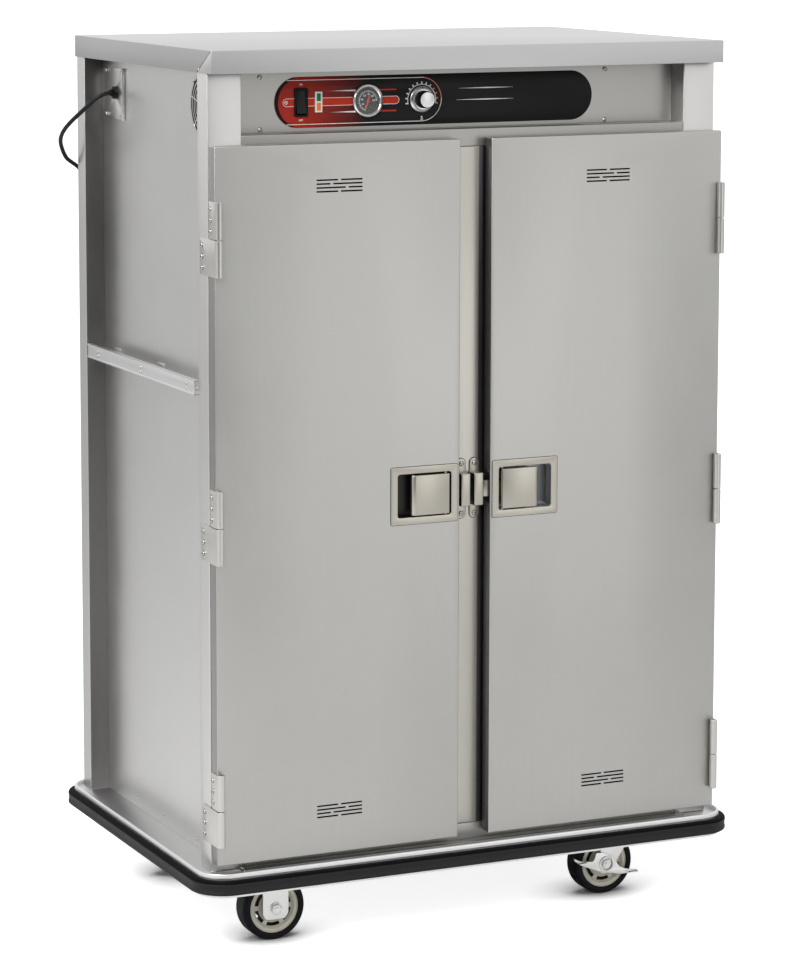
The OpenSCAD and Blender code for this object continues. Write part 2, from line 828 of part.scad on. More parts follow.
// Rocker with two dished faces, turning about its pins, its upper half pressed
module power_rocker() {
    half_w = rocker_w / 2 - 1.5 - rocker_wall - 0.4;
    half_h = rocker_h / 2 - 1.5 - rocker_wall - 1.2;
    color("#1b1b1e") translate([rocker_x, face_y + 3, control_z]) {
        rotate([-8, 0, 0]) rotate([90, 0, 90]) translate([0, 0, -half_w])
            linear_extrude(2 * half_w)
            polygon([[5, -half_h + 9], [-4, -half_h], [-6.5, -half_h], [-4, 0],
                     [-6.5, half_h], [-4, half_h], [5, half_h - 9]]);
        x_cyl(1.6, -half_w - 1.6, half_w + 1.6);
    }
}

// Indicator block with two lenses, one over the other
module indicator_lights() {
    wall = 3.3;
    lens_h = lights_h / 2 - wall * 1.2;
    translate([lights_x, 0, control_z]) {
        color("white") difference() {
            union() {
                box([-lights_w / 2, face_y - 1.8, -lights_h / 2], [lights_w / 2, face_y, lights_h / 2]);
                box([-lights_w / 2 + 1.5, face_y - eps, -lights_h / 2 + 1.5],
                    [lights_w / 2 - 1.5, face_y + 14, lights_h / 2 - 1.5]);
            }
            for (s = [-1, 1]) translate([0, 0, s * lights_h / 4])
                box([-lights_w / 2 + wall, face_y - 3, -lens_h / 2],
                    [lights_w / 2 - wall, face_y - 0.6, lens_h / 2]);
        }
        for (s = [-1, 1]) color(s > 0 ? "#27a54a" : "#e0681c") translate([0, 0, s * lights_h / 4])
            box([-lights_w / 2 + wall + 0.2, face_y - 2.4, -lens_h / 2 + 0.2],
                [lights_w / 2 - wall - 0.2, face_y - 0.6, lens_h / 2 - 0.2]);
    }
}

// Thermostat behind the panel, its shaft coming through
module thermostat_body() {
    color("gainsboro") translate([knob_x, 0, control_z]) {
        box([-22, control_y + sheet_t + seat, -17], [22, control_y + sheet_t + 24, 17]);
        y_cyl(5, control_y - 0.2, control_y + sheet_t + seat + eps);
        y_cyl(shaft_r, face_y - 14, control_y);
    }
}

module thermostat_knob() {
    flutes = 16;
    skirt_t = 6;
    color("#b9babd") translate([knob_x, face_y - 0.8, control_z]) rotate([90, 0, 0]) difference() {
        union() {
            rotate_extrude() polygon([[0, 0], [knob_skirt_r, 0], [knob_skirt_r, 1.6],
                                      [knob_grip_r + 2.5, skirt_t], [0, skirt_t]]);
            rotate_extrude() polygon([[0, skirt_t - eps], [knob_grip_r, skirt_t - eps],
                                      [knob_grip_r - 0.8, knob_h - 1.2],
                                      [knob_grip_r - 2, knob_h], [0, knob_h]]);
        }
        translate([0, 0, -1]) cylinder(r = shaft_r + run_gap, h = 16);
        for (i = [0:flutes - 1]) rotate([0, 0, i * 360 / flutes])
            translate([knob_grip_r + 0.9, 0, skirt_t + 2]) cylinder(r = 1.9, h = knob_h);
        translate([-0.6, 0, knob_h - 0.8]) cube([1.2, knob_grip_r - 1, 2]);
    }
}

// ---------------------------------------------------------------- side fittings

// Stamped guard: rings of arc slots between spokes, and a closed middle
module fan_guard() {
    ring_pitch = 8.4;
    slot = 5.2;
    spokes = 6;
    color("gainsboro") mirror([1, 0, 0]) translate([panel_x + seat / 3, fan_y, fan_z])
        rotate([90, 0, 90]) {
            linear_extrude(1.6) difference() {
                circle(guard_r);
                for (i = [0:4]) difference() {
                    circle(guard_r - 6 - i * ring_pitch);
                    circle(guard_r - 6 - i * ring_pitch - slot);
                    for (a = [0:spokes - 1]) rotate(a * 360 / spokes + 15)
                        translate([0, -1.6]) square([guard_r, 3.2]);
                }
            }
            for (a = [45:90:315]) rotate(a) translate([guard_r - 3.1, 0, 1.6 - eps])
                cylinder(r = 2.6, h = 1.4);
        }
}

fan_x1 = panel_x - sheet_t - seat;
fan_x0 = fan_x1 - fan_d;
rotor_gap = 1.5;
fan_bore = guard_r - 4;

module cooling_fan() {
    half = guard_r - 0.5;
    color("#1f1f21") mirror([1, 0, 0]) translate([0, fan_y, fan_z]) {
        difference() {
            box([fan_x0, -half, -half], [fan_x1, half, half]);
            x_cyl(fan_bore, fan_x0 + 4, fan_x1 + 1);
            x_cyl(fan_bore - 4, fan_x0 - 1, fan_x0 + 5);
        }
        for (a = [0:90:270]) rotate([a + 45, 0, 0]) box([fan_x0, -2.5, 18], [fan_x0 + 4, 2.5, fan_bore - 3]);
        x_cyl(20, fan_x0, fan_x0 + 5);
        x_cyl(3, fan_x0 + 5 - eps, fan_x0 + 20);
    }
}

module fan_rotor() {
    blades = 7;
    hub_x = fan_x0 + 6;
    color("#2a2a2d") mirror([1, 0, 0]) translate([0, fan_y, fan_z]) {
        difference() {
            x_cyl(21, hub_x, fan_x1 - 5);
            x_cyl(3 + run_gap, hub_x - 1, fan_x0 + 21);
        }
        for (i = [0:blades - 1]) rotate([i * 360 / blades, 0, 0])
            translate([(hub_x + fan_x1 - 5) / 2, 0, 0]) rotate([0, 0, 38])
            box([-10, -1, 18], [10, 1, fan_bore - rotor_gap - 1.5]);
    }
}

// Plate over the cord entry, with its front edge folded out
module cord_plate() {
    color("lightgrey") mirror([1, 0, 0]) {
        difference() {
            union() {
                box([panel_x + seat / 3, plate_y0, plate_z0], [panel_x + 1.6, plate_y1, plate_z1]);
                box([panel_x + seat / 3, plate_y0, plate_z0], [panel_x + 6, plate_y0 + 1.5, plate_z1]);
            }
            translate([0, gland_y, gland_z]) x_cyl(9, panel_x - 1, panel_x + 4);
        }
        for (y = [plate_y0 + 12, plate_y1 - 9], z = [plate_z0 + 9, plate_z1 - 6])
            translate([panel_x + 1.6 - eps, y, z]) rotate([0, 90, 0]) screw_head(4.2, 2.8);
    }
}

boot_len = 9;
gland_out = panel_x + 1.6;
boot_start = gland_out + 6;
boot_end = boot_start + boot_len;

// Strain relief: nut, flange and a tapered boot round the cord
module cord_gland() {
    color("#141416") mirror([1, 0, 0]) translate([0, gland_y, gland_z]) difference() {
        union() {
            x_cyl(8.7, panel_x - 8, gland_out + eps);
            translate([panel_x - 12, 0, 0]) rotate([0, 90, 0]) cylinder(r = 13, h = 8, $fn = 6);
            x_cyl(12.5, gland_out + seat / 3, boot_start + eps);
            translate([boot_start, 0, 0]) rotate([0, 90, 0])
                cylinder(r1 = 9.5, r2 = cord_d / 2 + 1.2, h = boot_len - 3);
        }
        x_cyl(cord_d / 2 + 0.1, boot_start - 8, boot_end + 1);
    }
    color("#141416") mirror([1, 0, 0]) translate([0, gland_y, gland_z])
        x_cyl(cord_d / 2 - 0.4, panel_x - 20, boot_start - 8 + eps);
}

// Aluminium channel across the side, on three brackets that reach the side panel
module push_bar() {
    lip = 5;
    web_t = 2.5;
    x1 = body_half + 3.5;
    x0 = x1 - bar_t;
    y0 = front_post_back + bar_end_gap;
    y1 = rear_post_front - bar_rear_gap;
    mid = (y0 + y1) / 2 - 8.5;
    color("white") {
        box([x1 - web_t, y0, bar_z - bar_h / 2], [x1, y1, bar_z + bar_h / 2]);
        for (z = [bar_z - bar_h / 2, bar_z + bar_h / 2 - web_t])
            box([x0, y0, z], [x1, y1, z + web_t]);
        for (z = [bar_z - bar_h / 2 + web_t, bar_z + bar_h / 2 - web_t - 1.4])
            box([x1 - eps, y0, z], [x1 + 1.2, y1, z + 1.4]);
        for (i = [-1:1]) {
            y = mid + i * bar_pitch;
            box([panel_x + seat / 3, y - 17, bar_z - 9], [panel_x + 3, y + 17, bar_z + 9]);
            box([panel_x + 2.9, y - 15, bar_z - 9], [x1 - web_t + eps, y + 15, bar_z - 6]);
            box([x1 - web_t - 3, y - 15, bar_z - 9], [x1 - web_t + eps, y + 15, bar_z + 9]);
        }
    }
    color("gainsboro") for (i = [-1:1], z = [-4.5, 4.5])
        translate([x1 - eps, mid + i * bar_pitch, bar_z + z]) rotate([0, 90, 0]) screw_head(3, 1.8);
}

// ---------------------------------------------------------------- cord

// Free stretch of the cord, from the boot behind the rear corner and down to the floor
coil_start_x = -395;
cord_route = [
    [-498, gland_y, gland_z], [-506, gland_y, gland_z], [-514, gland_y, gland_z - 0.5],
    [-527, 245, 1589], [-541, 249, 1580], [-558, 268, 1559],
    [-572, 297, 1536], [-578, 327, 1516], [-576, 355, 1496], [-566, 376, 1475.5],
    [-549, 393, 1452.5], [-523, 404, 1435], [-507, 412, 1415], [-500, 417, 1388],
    [-495, 420, 1350], [-491, 422, 1280],
    [-475, 422, 1100], [-459, 422, 900], [-443, 422, 700], [-427, 422, 500],
    [-411, 422, 300], [-400, 422, 150], [-396, 422, 90], [-395, 422, 52],
    [-395, 425.5, 32.5], [-395, 435, 18], [-395, 450, 8.5], [-395, 467, 4.8],
    [-395, 480, 4.25]
];

function unit(v) = v / norm(v);

// Ring of n points of radius r round p, square to direction d
function ring(p, d, r, n) =
    let(w = unit(d),
        ref = abs(w[0]) > 0.8 ? [0, 1, 0] : [1, 0, 0],
        u = unit(cross(w, ref)),
        v = cross(w, u))
    [for (i = [0:n - 1]) p + r * cos(360 * i / n) * u + r * sin(360 * i / n) * v];

// Direction of the path at point i
function heading(path, i) =
    let(last = len(path) - 1)
    i == 0 ? path[1] - path[0]
    : i == last ? path[last] - path[last - 1]
    : unit(path[i] - path[i - 1]) + unit(path[i + 1] - path[i]);

// Tube of radius r with n sides along a path, as one closed skin
module tube(path, r, n) {
    count = len(path);
    points = [for (i = [0:count - 1]) each ring(path[i], heading(path, i), r, n)];
    sides = [for (i = [0:count - 2], j = [0:n - 1])
        let(a = i * n + j, b = i * n + (j + 1) % n)
        each [[a, b, b + n], [a, b + n, a + n]]];
    ends = [for (j = [1:n - 2]) each
        [[0, j + 1, j], [(count - 1) * n, (count - 1) * n + j, (count - 1) * n + j + 1]]];
    polyhedron(points = points, faces = concat(sides, ends), convexity = 10);
}

// Smooth curve through four points, u from 0 to 1 between the middle two
function spline_at(a, b, c, d, u) =
    0.5 * (2 * b + (c - a) * u + (2 * a - 5 * b + 4 * c - d) * u * u
           + (3 * b - a - 3 * c + d) * u * u * u);

function smooth_path(p, steps) =
    let(last = len(p) - 1)
    concat([for (i = [0:last - 1], k = [0:steps - 1])
        spline_at(p[max(i - 1, 0)], p[i], p[i + 1], p[min(i + 2, last)], k / steps)], [p[last]]);

module power_cord() {
    color("#121214") tube(smooth_path(cord_route, 2), cord_d / 2, 8);
}

// Coil: two layers of turns, spiralling in below and out again above
coil_turns = 4;
coil_pitch = cord_d + 0.8;
coil_rise = cord_d + 0.8;
coil_out_r = 56.5;
coil_in_r = coil_out_r - coil_pitch * coil_turns / 2;
coil_seg = 24;
coil_x = coil_start_x + coil_out_r;
coil_y = 488.5;
coil_tail = 40;
coil_sides = 6;

// Radius and height after t turns
function coil_r(t) = t < coil_turns / 2 ? coil_out_r - coil_pitch * t
    : coil_in_r + coil_pitch * (t - coil_turns / 2);
function coil_z(t) =
    let(s = min(max((t - coil_turns / 2 + 0.25) / 0.5, 0), 1))
    cord_d / 2 + coil_rise * (3 * s * s - 2 * s * s * s);
coil_points = concat(
    [[coil_start_x, coil_y - cord_d, cord_d / 2]],
    [for (k = [0:coil_seg * coil_turns])
        let(t = k / coil_seg, a = 180 - 360 * t)
        [coil_x + coil_r(t) * cos(a), coil_y + coil_r(t) * sin(a), coil_z(t)]],
    [[coil_x - coil_out_r, coil_y + coil_tail, coil_z(coil_turns)]]);

// Least distance between points of the coil more than a third of a turn apart
coil_gap = min([for (i = [1:len(coil_points) - 1], j = [1:len(coil_points) - 1])
    if (j > i + coil_seg / 3) norm(coil_points[j] - coil_points[i])]) - cord_d;
echo(coil_gap = coil_gap);

module cord_coil() {
    color("#121214") tube(coil_points, cord_d / 2, coil_sides);
}

plug_y0 = coil_y + coil_tail;

// Moulded plug: ribbed strain relief, body with a flat base, and three blades
module power_plug() {
    relief = 30;
    body = 38;
    z = coil_z(coil_turns);
    translate([coil_start_x, plug_y0 + seat / 3, z]) {
        color("#121214") {
            translate([0, relief, 0]) rotate([90, 0, 0])
                cylinder(r1 = 8.5, r2 = cord_d / 2 + 1, h = relief);
            for (i = [1:4]) translate([0, i * 6, 0]) y_cyl(5.6 + i * 0.7, -1.2, 1.2);
            translate([0, relief - eps, 0]) rotate([-90, 0, 0]) linear_extrude(body)
                round_rect(30, 2 * z, 9);
            translate([0, relief + body - 8, 0]) rotate([-90, 0, 0]) linear_extrude(8)
                round_rect(33, 2 * z, 10);
        }
        color("#c9a55a") {
            for (s = [-1, 1]) translate([s * 6.35, relief + body - 1, 2])
                box([-0.8, 0, -3.2], [0.8, 19, 3.2]);
            translate([0, 0, -6]) y_cyl(2.4, relief + body - 1, relief + body + 20);
        }
    }
}

// ---------------------------------------------------------------- inside

module liner() {
    color("gainsboro") difference() {
        box([-liner_half, liner_front, liner_z0], [liner_half, liner_back, liner_z1]);
        box([-liner_half + sheet_t, liner_front - 1, liner_z0 + sheet_t],
            [liner_half - sheet_t, liner_back - sheet_t, liner_z1 - sheet_t]);
        translate([0, blower_y, liner_z1 - 10]) cylinder(r = 12, h = 20);
    }
}

rail_z0 = liner_z0 + sheet_t + seat;
rail_tops = [liner_z1 - sheet_t - seat, duct_z - seat];
rail_wall_x = liner_half - sheet_t - seat;
rail_y = [liner_front + 30, liner_back - 70];
function shelf_z(i) = liner_z0 + shelf_first + i * shelf_pitch;

// Slotted upright up to height top: face towards -X, back against a wall at x = 0
module upright(top) {
    slot_pitch = 50;
    slots = floor((duct_z - rail_z0 - 60) / slot_pitch);
    difference() {
        union() {
            box([-rail_t, 0, rail_z0], [-rail_t + 1.5, rail_w, top]);
            for (y = [0, rail_w - 1.5]) box([-rail_t, y, rail_z0], [0, y + 1.5, top]);
        }
        for (i = [0:slots]) box([-rail_t - 1, rail_w / 2 - 3, rail_z0 + 20 + i * slot_pitch],
                                [-rail_t + 2, rail_w / 2 + 3, rail_z0 + 34 + i * slot_pitch]);
    }
}

// Clip in a slot that a shelf rests on
module shelf_clip(z) {
    box([-rail_t - 9, 3, z - 5], [-rail_t + eps, rail_w - 3, z - 2]);
    box([-rail_t - 2, 3, z - 14], [-rail_t + eps, rail_w - 3, z - 2]);
}

module shelf_rails() {
    color("silver") for (k = [0, 1]) translate([0, rail_y[k], 0]) {
        for (s = [-1, 1]) sided(s) {
            translate([rail_wall_x, 0, 0]) upright(rail_tops[k]);
            for (i = [0:tiers - 1]) translate([rail_wall_x, 0, 0]) shelf_clip(shelf_z(i) - shelf_edge);
        }
        for (s = [-1, 1]) sided(s) translate([0.15, 0, 0]) mirror([1, 0, 0]) {
            upright(rail_tops[k]);
            for (i = [0:tiers - 1]) shelf_clip(shelf_z(i) - shelf_edge);
        }
    }
}

shelf_x0 = rail_t + 4;
shelf_x1 = rail_wall_x - rail_t - 3;
shelf_y0 = liner_front + 18;

// Shelf tray turned down at its edges, with rows of round-ended slots
module shelf(z) {
    cols = 6;
    rows = 4;
    slot_w = 9;
    slot_l = 70;
    dx = (shelf_x1 - shelf_x0) / cols;
    dy = shelf_d / rows;
    difference() {
        box([shelf_x0, shelf_y0, z - shelf_edge], [shelf_x1, shelf_y0 + shelf_d, z]);
        box([shelf_x0 + shelf_t, shelf_y0 + shelf_t, z - shelf_edge - 1],
            [shelf_x1 - shelf_t, shelf_y0 + shelf_d - shelf_t, z - shelf_t]);
        translate([0, 0, z - shelf_t - 1]) linear_extrude(shelf_t + 2)
            for (i = [0:cols - 1], j = [0:rows - 1])
                translate([shelf_x0 + (i + 0.5) * dx, shelf_y0 + (j + 0.5) * dy])
                round_rect(slot_w, slot_l, slot_w / 2 - 0.01);
    }
}

module shelves() {
    color("silver") for (s = [-1, 1], i = [0:tiers - 1]) sided(s) shelf(shelf_z(i) - 1.7);
}

duct_half = 230;
duct_y0 = blower_y - 190;
duct_y1 = liner_back - sheet_t - 12;

// Air duct hung under the ceiling: round inlet grille below, outlet slots at the sides,
// and the ring-shaped heating element inside
module air_duct() {
    wall = 1.2;
    ring_r = blower_r + 16;
    ring_z = 34;
    rod_r = 4;
    color("silver") difference() {
        box([-duct_half, duct_y0, duct_z], [duct_half, duct_y1, liner_z1 - sheet_t - seat]);
        box([-duct_half + wall, duct_y0 + wall, duct_z + wall],
            [duct_half - wall, duct_y1 - wall, liner_z1]);
        for (i = [0:3]) translate([0, blower_y, duct_z - 1]) difference() {
            cylinder(r = blower_r - 14 - i * 14, h = 4);
            translate([0, 0, -1]) cylinder(r = blower_r - 21 - i * 14, h = 6);
            for (a = [0:45:135]) rotate([0, 0, a]) cube([2 * blower_r, 4, 12], center = true);
        }
        for (i = [0:7]) box([-duct_half - 1, duct_y0 + 35 + i * 42, duct_z + 22],
                            [duct_half + 1, duct_y0 + 60 + i * 42, duct_z + 44]);
        for (i = [0:7]) box([-duct_half + 42 + i * 50, duct_y0 - 1, duct_z + 22],
                            [-duct_half + 72 + i * 50, duct_y0 + 3, duct_z + 44]);
    }
    color("#6a5f58") translate([0, blower_y, duct_z + ring_z]) {
        rotate_extrude(angle = 330) translate([ring_r, 0]) circle(rod_r, $fn = 24);
        for (a = [20:60:320]) rotate([0, 0, a])
            box([ring_r - 6, -rod_r, wall - ring_z], [ring_r + 6, rod_r, 0.4 - rod_r]);
    }
}

blower_shaft_r = 4;

module blower_motor() {
    z = liner_z1 + seat;
    flange_t = 3;
    motor_r = 42;
    motor_h = 62;
    color("#8a8c90") translate([0, blower_y, 0]) {
        translate([0, 0, z]) cylinder(r = motor_r + 28, h = flange_t);
        translate([0, 0, z + flange_t - eps]) cylinder(r = motor_r, h = motor_h);
        translate([0, 0, z + flange_t + motor_h - eps]) cylinder(r1 = motor_r, r2 = 30, h = 8);
        translate([0, 0, duct_z + 18]) cylinder(r = blower_shaft_r, h = z - duct_z - 17);
    }
}

module blower_wheel() {
    blades = 24;
    z0 = duct_z + 12;
    h = 36;
    color("silver") translate([0, blower_y, z0]) difference() {
        union() {
            translate([0, 0, h - 2]) cylinder(r = blower_r, h = 2);
            translate([0, 0, h - 18]) cylinder(r = 12, h = 18);
            difference() {
                cylinder(r = blower_r, h = 2);
                translate([0, 0, -1]) cylinder(r = blower_r - 15, h = 4);
            }
            for (i = [0:blades - 1]) rotate([0, 0, i * 360 / blades]) translate([blower_r - 8, 0, 0])
                rotate([0, 0, 35]) box([-6, -0.6, 1], [6, 0.6, h - 1]);
        }
        translate([0, 0, -1]) cylinder(r = blower_shaft_r + run_gap, h = h + 2);
    }
}

// ---------------------------------------------------------------- doors

// Widths of the gap in each vent row, as a share of the group's width
vent_breaks_upper = [1 / 2, 1 / 3, 2 / 3, 1 / 2];
vent_breaks_lower = [1 / 2, 2 / 3, 1 / 3, 1 / 2];

// Vent slots as an outline in the door's face, centred
module vent_group(breaks) {
    land = 6;
    for (row = [0:vent_rows - 1]) {
        z = ((vent_rows - 1) / 2 - row) * vent_pitch;
        split = breaks[row % 4] * vent_w;
        translate([-vent_w / 2, z - vent_slot / 2]) {
            square([split - land / 2, vent_slot]);
            translate([split + land / 2, 0]) square([vent_w - split - land / 2, vent_slot]);
        }
    }
}

// Right-hand door: hollow shell with a pocket for the latch pan and four vent groups
module door_shell() {
    y_in = door_front + skin_t;
    color("#c3c3c1") difference() {
        box([door_in, door_front, door_z0], [door_out, door_back, door_z1]);
        difference() {
            box([door_in + skin_t, y_in, door_z0 + skin_t],
                [door_out - skin_t, door_back - skin_t, door_z1 - skin_t]);
            box([open_x0 - 3.5, door_front, latch_z - pan_open_h / 2 - 3.5],
                [open_x1 + 3.5, door_back, latch_z + pan_open_h / 2 + 3.5]);
            box([door_in, bolt_y - 3, latch_z - bolt_h / 2 - 3],
                [open_x0, bolt_y + bolt_t + 3, latch_z + bolt_h / 2 + 3]);
        }
        box([open_x0 - 2, door_front - 1, latch_z - pan_open_h / 2 - 2],
            [open_x1 + 2, pan_floor + seat, latch_z + pan_open_h / 2 + 2]);
        box([door_in - 1, bolt_y - 0.5, latch_z - bolt_h / 2 - 0.5],
            [open_x0, bolt_y + bolt_t + 0.5, latch_z + bolt_h / 2 + 0.5]);
        for (z = [door_z1 - vent_top, door_z0 + vent_bottom])
            translate([door_mid, y_in + 1, z]) rotate([90, 0, 0]) linear_extrude(skin_t + 2)
                vent_group(z > latch_z ? vent_breaks_upper : vent_breaks_lower);
    }
}

// Rubber seal round the door's back, compressed against the frame
module gasket() {
    inset = 8;
    color("#2b2b2d") difference() {
        box([door_in + inset, door_back, door_z0 + inset],
            [door_out - inset, frame_y - seat, door_z1 - inset]);
        box([door_in + inset + gasket_w, door_back - 1, door_z0 + inset + gasket_w],
            [door_out - inset - gasket_w, frame_y + 1, door_z1 - inset - gasket_w]);
    }
}

// Pressed pan: flange on the door's face, straight walls and a closed floor
module latch_pan() {
    oz0 = latch_z - pan_open_h / 2;
    oz1 = latch_z + pan_open_h / 2;
    flange_y = door_front - seat / 3;
    color("#b8ae9b") difference() {
        union() {
            translate([pan_x0 + pan_w / 2, flange_y, latch_z]) rotate([90, 0, 0])
                linear_extrude(pan_t) round_rect(pan_w, pan_h, 3);
            box([open_x0 - pan_t, flange_y - eps, oz0 - pan_t], [open_x1 + pan_t, pan_floor, oz1 + pan_t]);
        }
        box([open_x0, flange_y - pan_t - 1, oz0], [open_x1, pan_floor - pan_t, oz1]);
        box([open_x0 - 5, bolt_y - 0.5, latch_z - bolt_h / 2 - 0.5],
            [open_x0 + 1, bolt_y + bolt_t + 0.5, latch_z + bolt_h / 2 + 0.5]);
        translate([pivot_x, pivot_y, oz0 - pan_t - 1])
            cylinder(r = pivot_r + run_gap, h = pan_open_h + 2 * pan_t + 2);
    }
}

// Paddle: a plate with a bevelled grip edge, turned-in ends and its pivot pin
module latch_paddle() {
    z0 = latch_z - pan_open_h / 2 + paddle_gap;
    z1 = latch_z + pan_open_h / 2 - paddle_gap;
    x1 = paddle_x0 + paddle_w;
    bevel = 7;
    lip_y = paddle_front + 11;
    end_t = 2;
    color("#b8ae9b") {
        translate([0, 0, z0]) linear_extrude(z1 - z0) polygon([
            [paddle_x0, paddle_front + 1], [paddle_x0 + 1, paddle_front],
            [x1 - bevel, paddle_front], [x1, paddle_front + bevel * 0.6], [x1, lip_y],
            [x1 - paddle_t, lip_y], [x1 - paddle_t, paddle_front + bevel * 0.6 + 1],
            [x1 - bevel - 1, paddle_front + paddle_t], [paddle_x0, paddle_front + paddle_t]]);
        for (z = [z0, z1 - end_t]) translate([0, 0, z]) linear_extrude(end_t) polygon([
            [paddle_x0 + 1, paddle_front + 1], [x1 - bevel, paddle_front + 1],
            [x1 - 1, paddle_front + bevel * 0.6 + 1], [x1 - 1, lip_y],
            [pivot_x + 8, pivot_y + 3], [paddle_x0 + 1, pivot_y + 3]]);
        translate([pivot_x, pivot_y, latch_z - pan_open_h / 2 - pan_t])
            cylinder(r = pivot_r, h = pan_open_h + 2 * pan_t);
    }
}

// Sliding bolt with a bevelled nose
module latch_bolt() {
    nose = 5;
    color("#a9a196") translate([0, 0, latch_z - bolt_h / 2]) linear_extrude(bolt_h) polygon([
        [bolt_tip, bolt_y + bolt_t - nose], [bolt_tip, bolt_y + bolt_t],
        [bolt_tail, bolt_y + bolt_t], [bolt_tail, bolt_y], [bolt_tip + nose, bolt_y],
        [bolt_tip, bolt_y + nose / 2]]);
}

// Heights of the middles of the hinges
hinge_zs = [for (i = [0:hinge_count - 1]) hinge_low_z + i * hinge_pitch];

// Three screws up a leaf, heads towards +X
module leaf_screws(y, z0, x) {
    for (i = [-1:1]) translate([x, y, z0 + i * leaf_screw_pitch * 1.2])
        rotate([0, 90, 0]) screw_head(3.6, 2.2);
}

// Upper half of each hinge, on the door's edge, with the bored barrel
module door_leaf(z) {
    half = hinge_h / 2;
    color("#c8c5bd") {
        difference() {
            union() {
                translate([pin_x, pin_y, z + knuckle_gap / 2])
                    cylinder(r = barrel_r, h = half - knuckle_gap / 2);
                box([door_out + 0.1, pin_y, z + knuckle_gap / 2],
                    [pin_x + barrel_r - 0.3, door_front + door_leaf_w, z + half]);
                box([pin_x, door_front - 2.2, z + knuckle_gap / 2],
                    [door_out + 1, door_front - 0.2, z + half]);
            }
            translate([pin_x, pin_y, z - 1]) cylinder(r = hinge_pin_r + run_gap, h = half - 4);
        }
        leaf_screws(door_front + door_leaf_w - 9, z + half / 2, pin_x + barrel_r - 0.3 - eps);
    }
}

// Lower half of each hinge, on the post, with the fixed pin
module frame_leaf(z) {
    half = hinge_h / 2;
    x0 = body_half + 0.1;
    color("#c8c5bd") {
        translate([pin_x, pin_y, z - half]) cylinder(r = barrel_r, h = half - knuckle_gap / 2);
        translate([pin_x, pin_y, z - 10]) cylinder(r = hinge_pin_r, h = half);
        box([x0, pin_y, z - half], [pin_x + barrel_r, frame_y + frame_leaf_w, z - knuckle_gap / 2]);
        leaf_screws(frame_y + frame_leaf_w - 11, z - half / 2, pin_x + barrel_r - eps);
    }
}

module hinge_leaves() {
    for (z = hinge_zs) door_leaf(z);
}

// Strike on the mullion: flange with round ends and a raised block
module strike() {
    x_mid = strike_gap / 2 + strike_w / 2;
    y = frame_y - seat / 3;
    color("#bcb4a4") difference() {
        union() {
            translate([x_mid, y, latch_z]) rotate([90, 0, 0]) linear_extrude(2.5)
                round_rect(strike_w, strike_h, strike_w / 2 - 0.01);
            box([x_mid - strike_w / 2, y - strike_block_d, latch_z - strike_block_h / 2],
                [x_mid + strike_w / 2, y - 2, latch_z + strike_block_h / 2]);
        }
        box([x_mid, y - strike_block_d + 3, latch_z - bolt_h / 2 - 3],
            [x_mid + strike_w, y - 2.5, latch_z + bolt_h / 2 + 3]);
    }
    color("gainsboro") for (s = [-1, 1])
        translate([x_mid, y - 2.5 + eps, latch_z + s * (strike_h / 2 - 10)]) rotate([90, 0, 0])
            screw_head(4, 2.6);
}

// Fixed hinge halves on the posts and the two strikes on the mullion
module hinges_and_strikes() {
    for (s = [-1, 1]) sided(s) {
        for (z = hinge_zs) frame_leaf(z);
        strike();
    }
}

// ---------------------------------------------------------------- nodes

base_frame();
deck();
bumper();
rigid_casters();
swivel_plates();
swivel_fork(swivel_front_y);  // fork_front_right
swivel_fork(rear_caster_y);  // fork_rear_right
brake_lever(swivel_front_y);  // brake_front_right
brake_lever(rear_caster_y);  // brake_rear_right
caster_wheel(-rigid_x, rigid_front_y);  // wheel_front_left
caster_wheel(swivel_x - trail, swivel_front_y);  // wheel_front_right
caster_wheel(-rigid_x, rear_caster_y);  // wheel_rear_left
caster_wheel(swivel_x - trail, rear_caster_y);  // wheel_rear_right
front_posts();
rear_posts();
center_mullion();
header_rail();
sill_rail();
side_panel_left();
side_panel_right();
back_panel();
top_cap();
control_panel();
control_overlay();
thermometer();
thermometer_needle();
rocker_frame();
power_rocker();
indicator_lights();
thermostat_body();
thermostat_knob();
fan_guard();
cooling_fan();
fan_rotor();
cord_plate();
cord_gland();
power_cord();
cord_coil();
power_plug();
sided(-1) push_bar();  // push_bar_left
sided(1) push_bar();  // push_bar_right
liner();
shelf_rails();
shelves();
air_duct();
blower_motor();
blower_wheel();
sided(-1) door_shell();  // door_left
sided(1) door_shell();  // door_right
sided(-1) gasket();  // gasket_left
sided(1) gasket();  // gasket_right
sided(-1) latch_pan();  // latch_pan_left
sided(1) latch_pan();  // latch_pan_right
sided(-1) latch_paddle();  // latch_paddle_left
sided(1) latch_paddle();  // latch_paddle_right
sided(-1) latch_bolt();  // latch_bolt_left
sided(1) latch_bolt();  // latch_bolt_right
sided(-1) hinge_leaves();  // hinge_leaves_left
sided(1) hinge_leaves();  // hinge_leaves_right
hinges_and_strikes();
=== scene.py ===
# %% [markdown]
# # Plate warmer cabinet
# A tall heated cabinet on casters: two doors with pan latches, a recessed control panel,
# push bars at the sides and a rubber bumper round the base. The CAD frame gives every
# size and every moving body; this script gives the pieces their folds, edges and finish.
# Lengths are written in millimetres and turned into metres when a mesh is made.

# %%
from math import cos, hypot, pi, radians, sin
import bpy
import bmesh
import numpy as np
from mathutils import Matrix, Vector


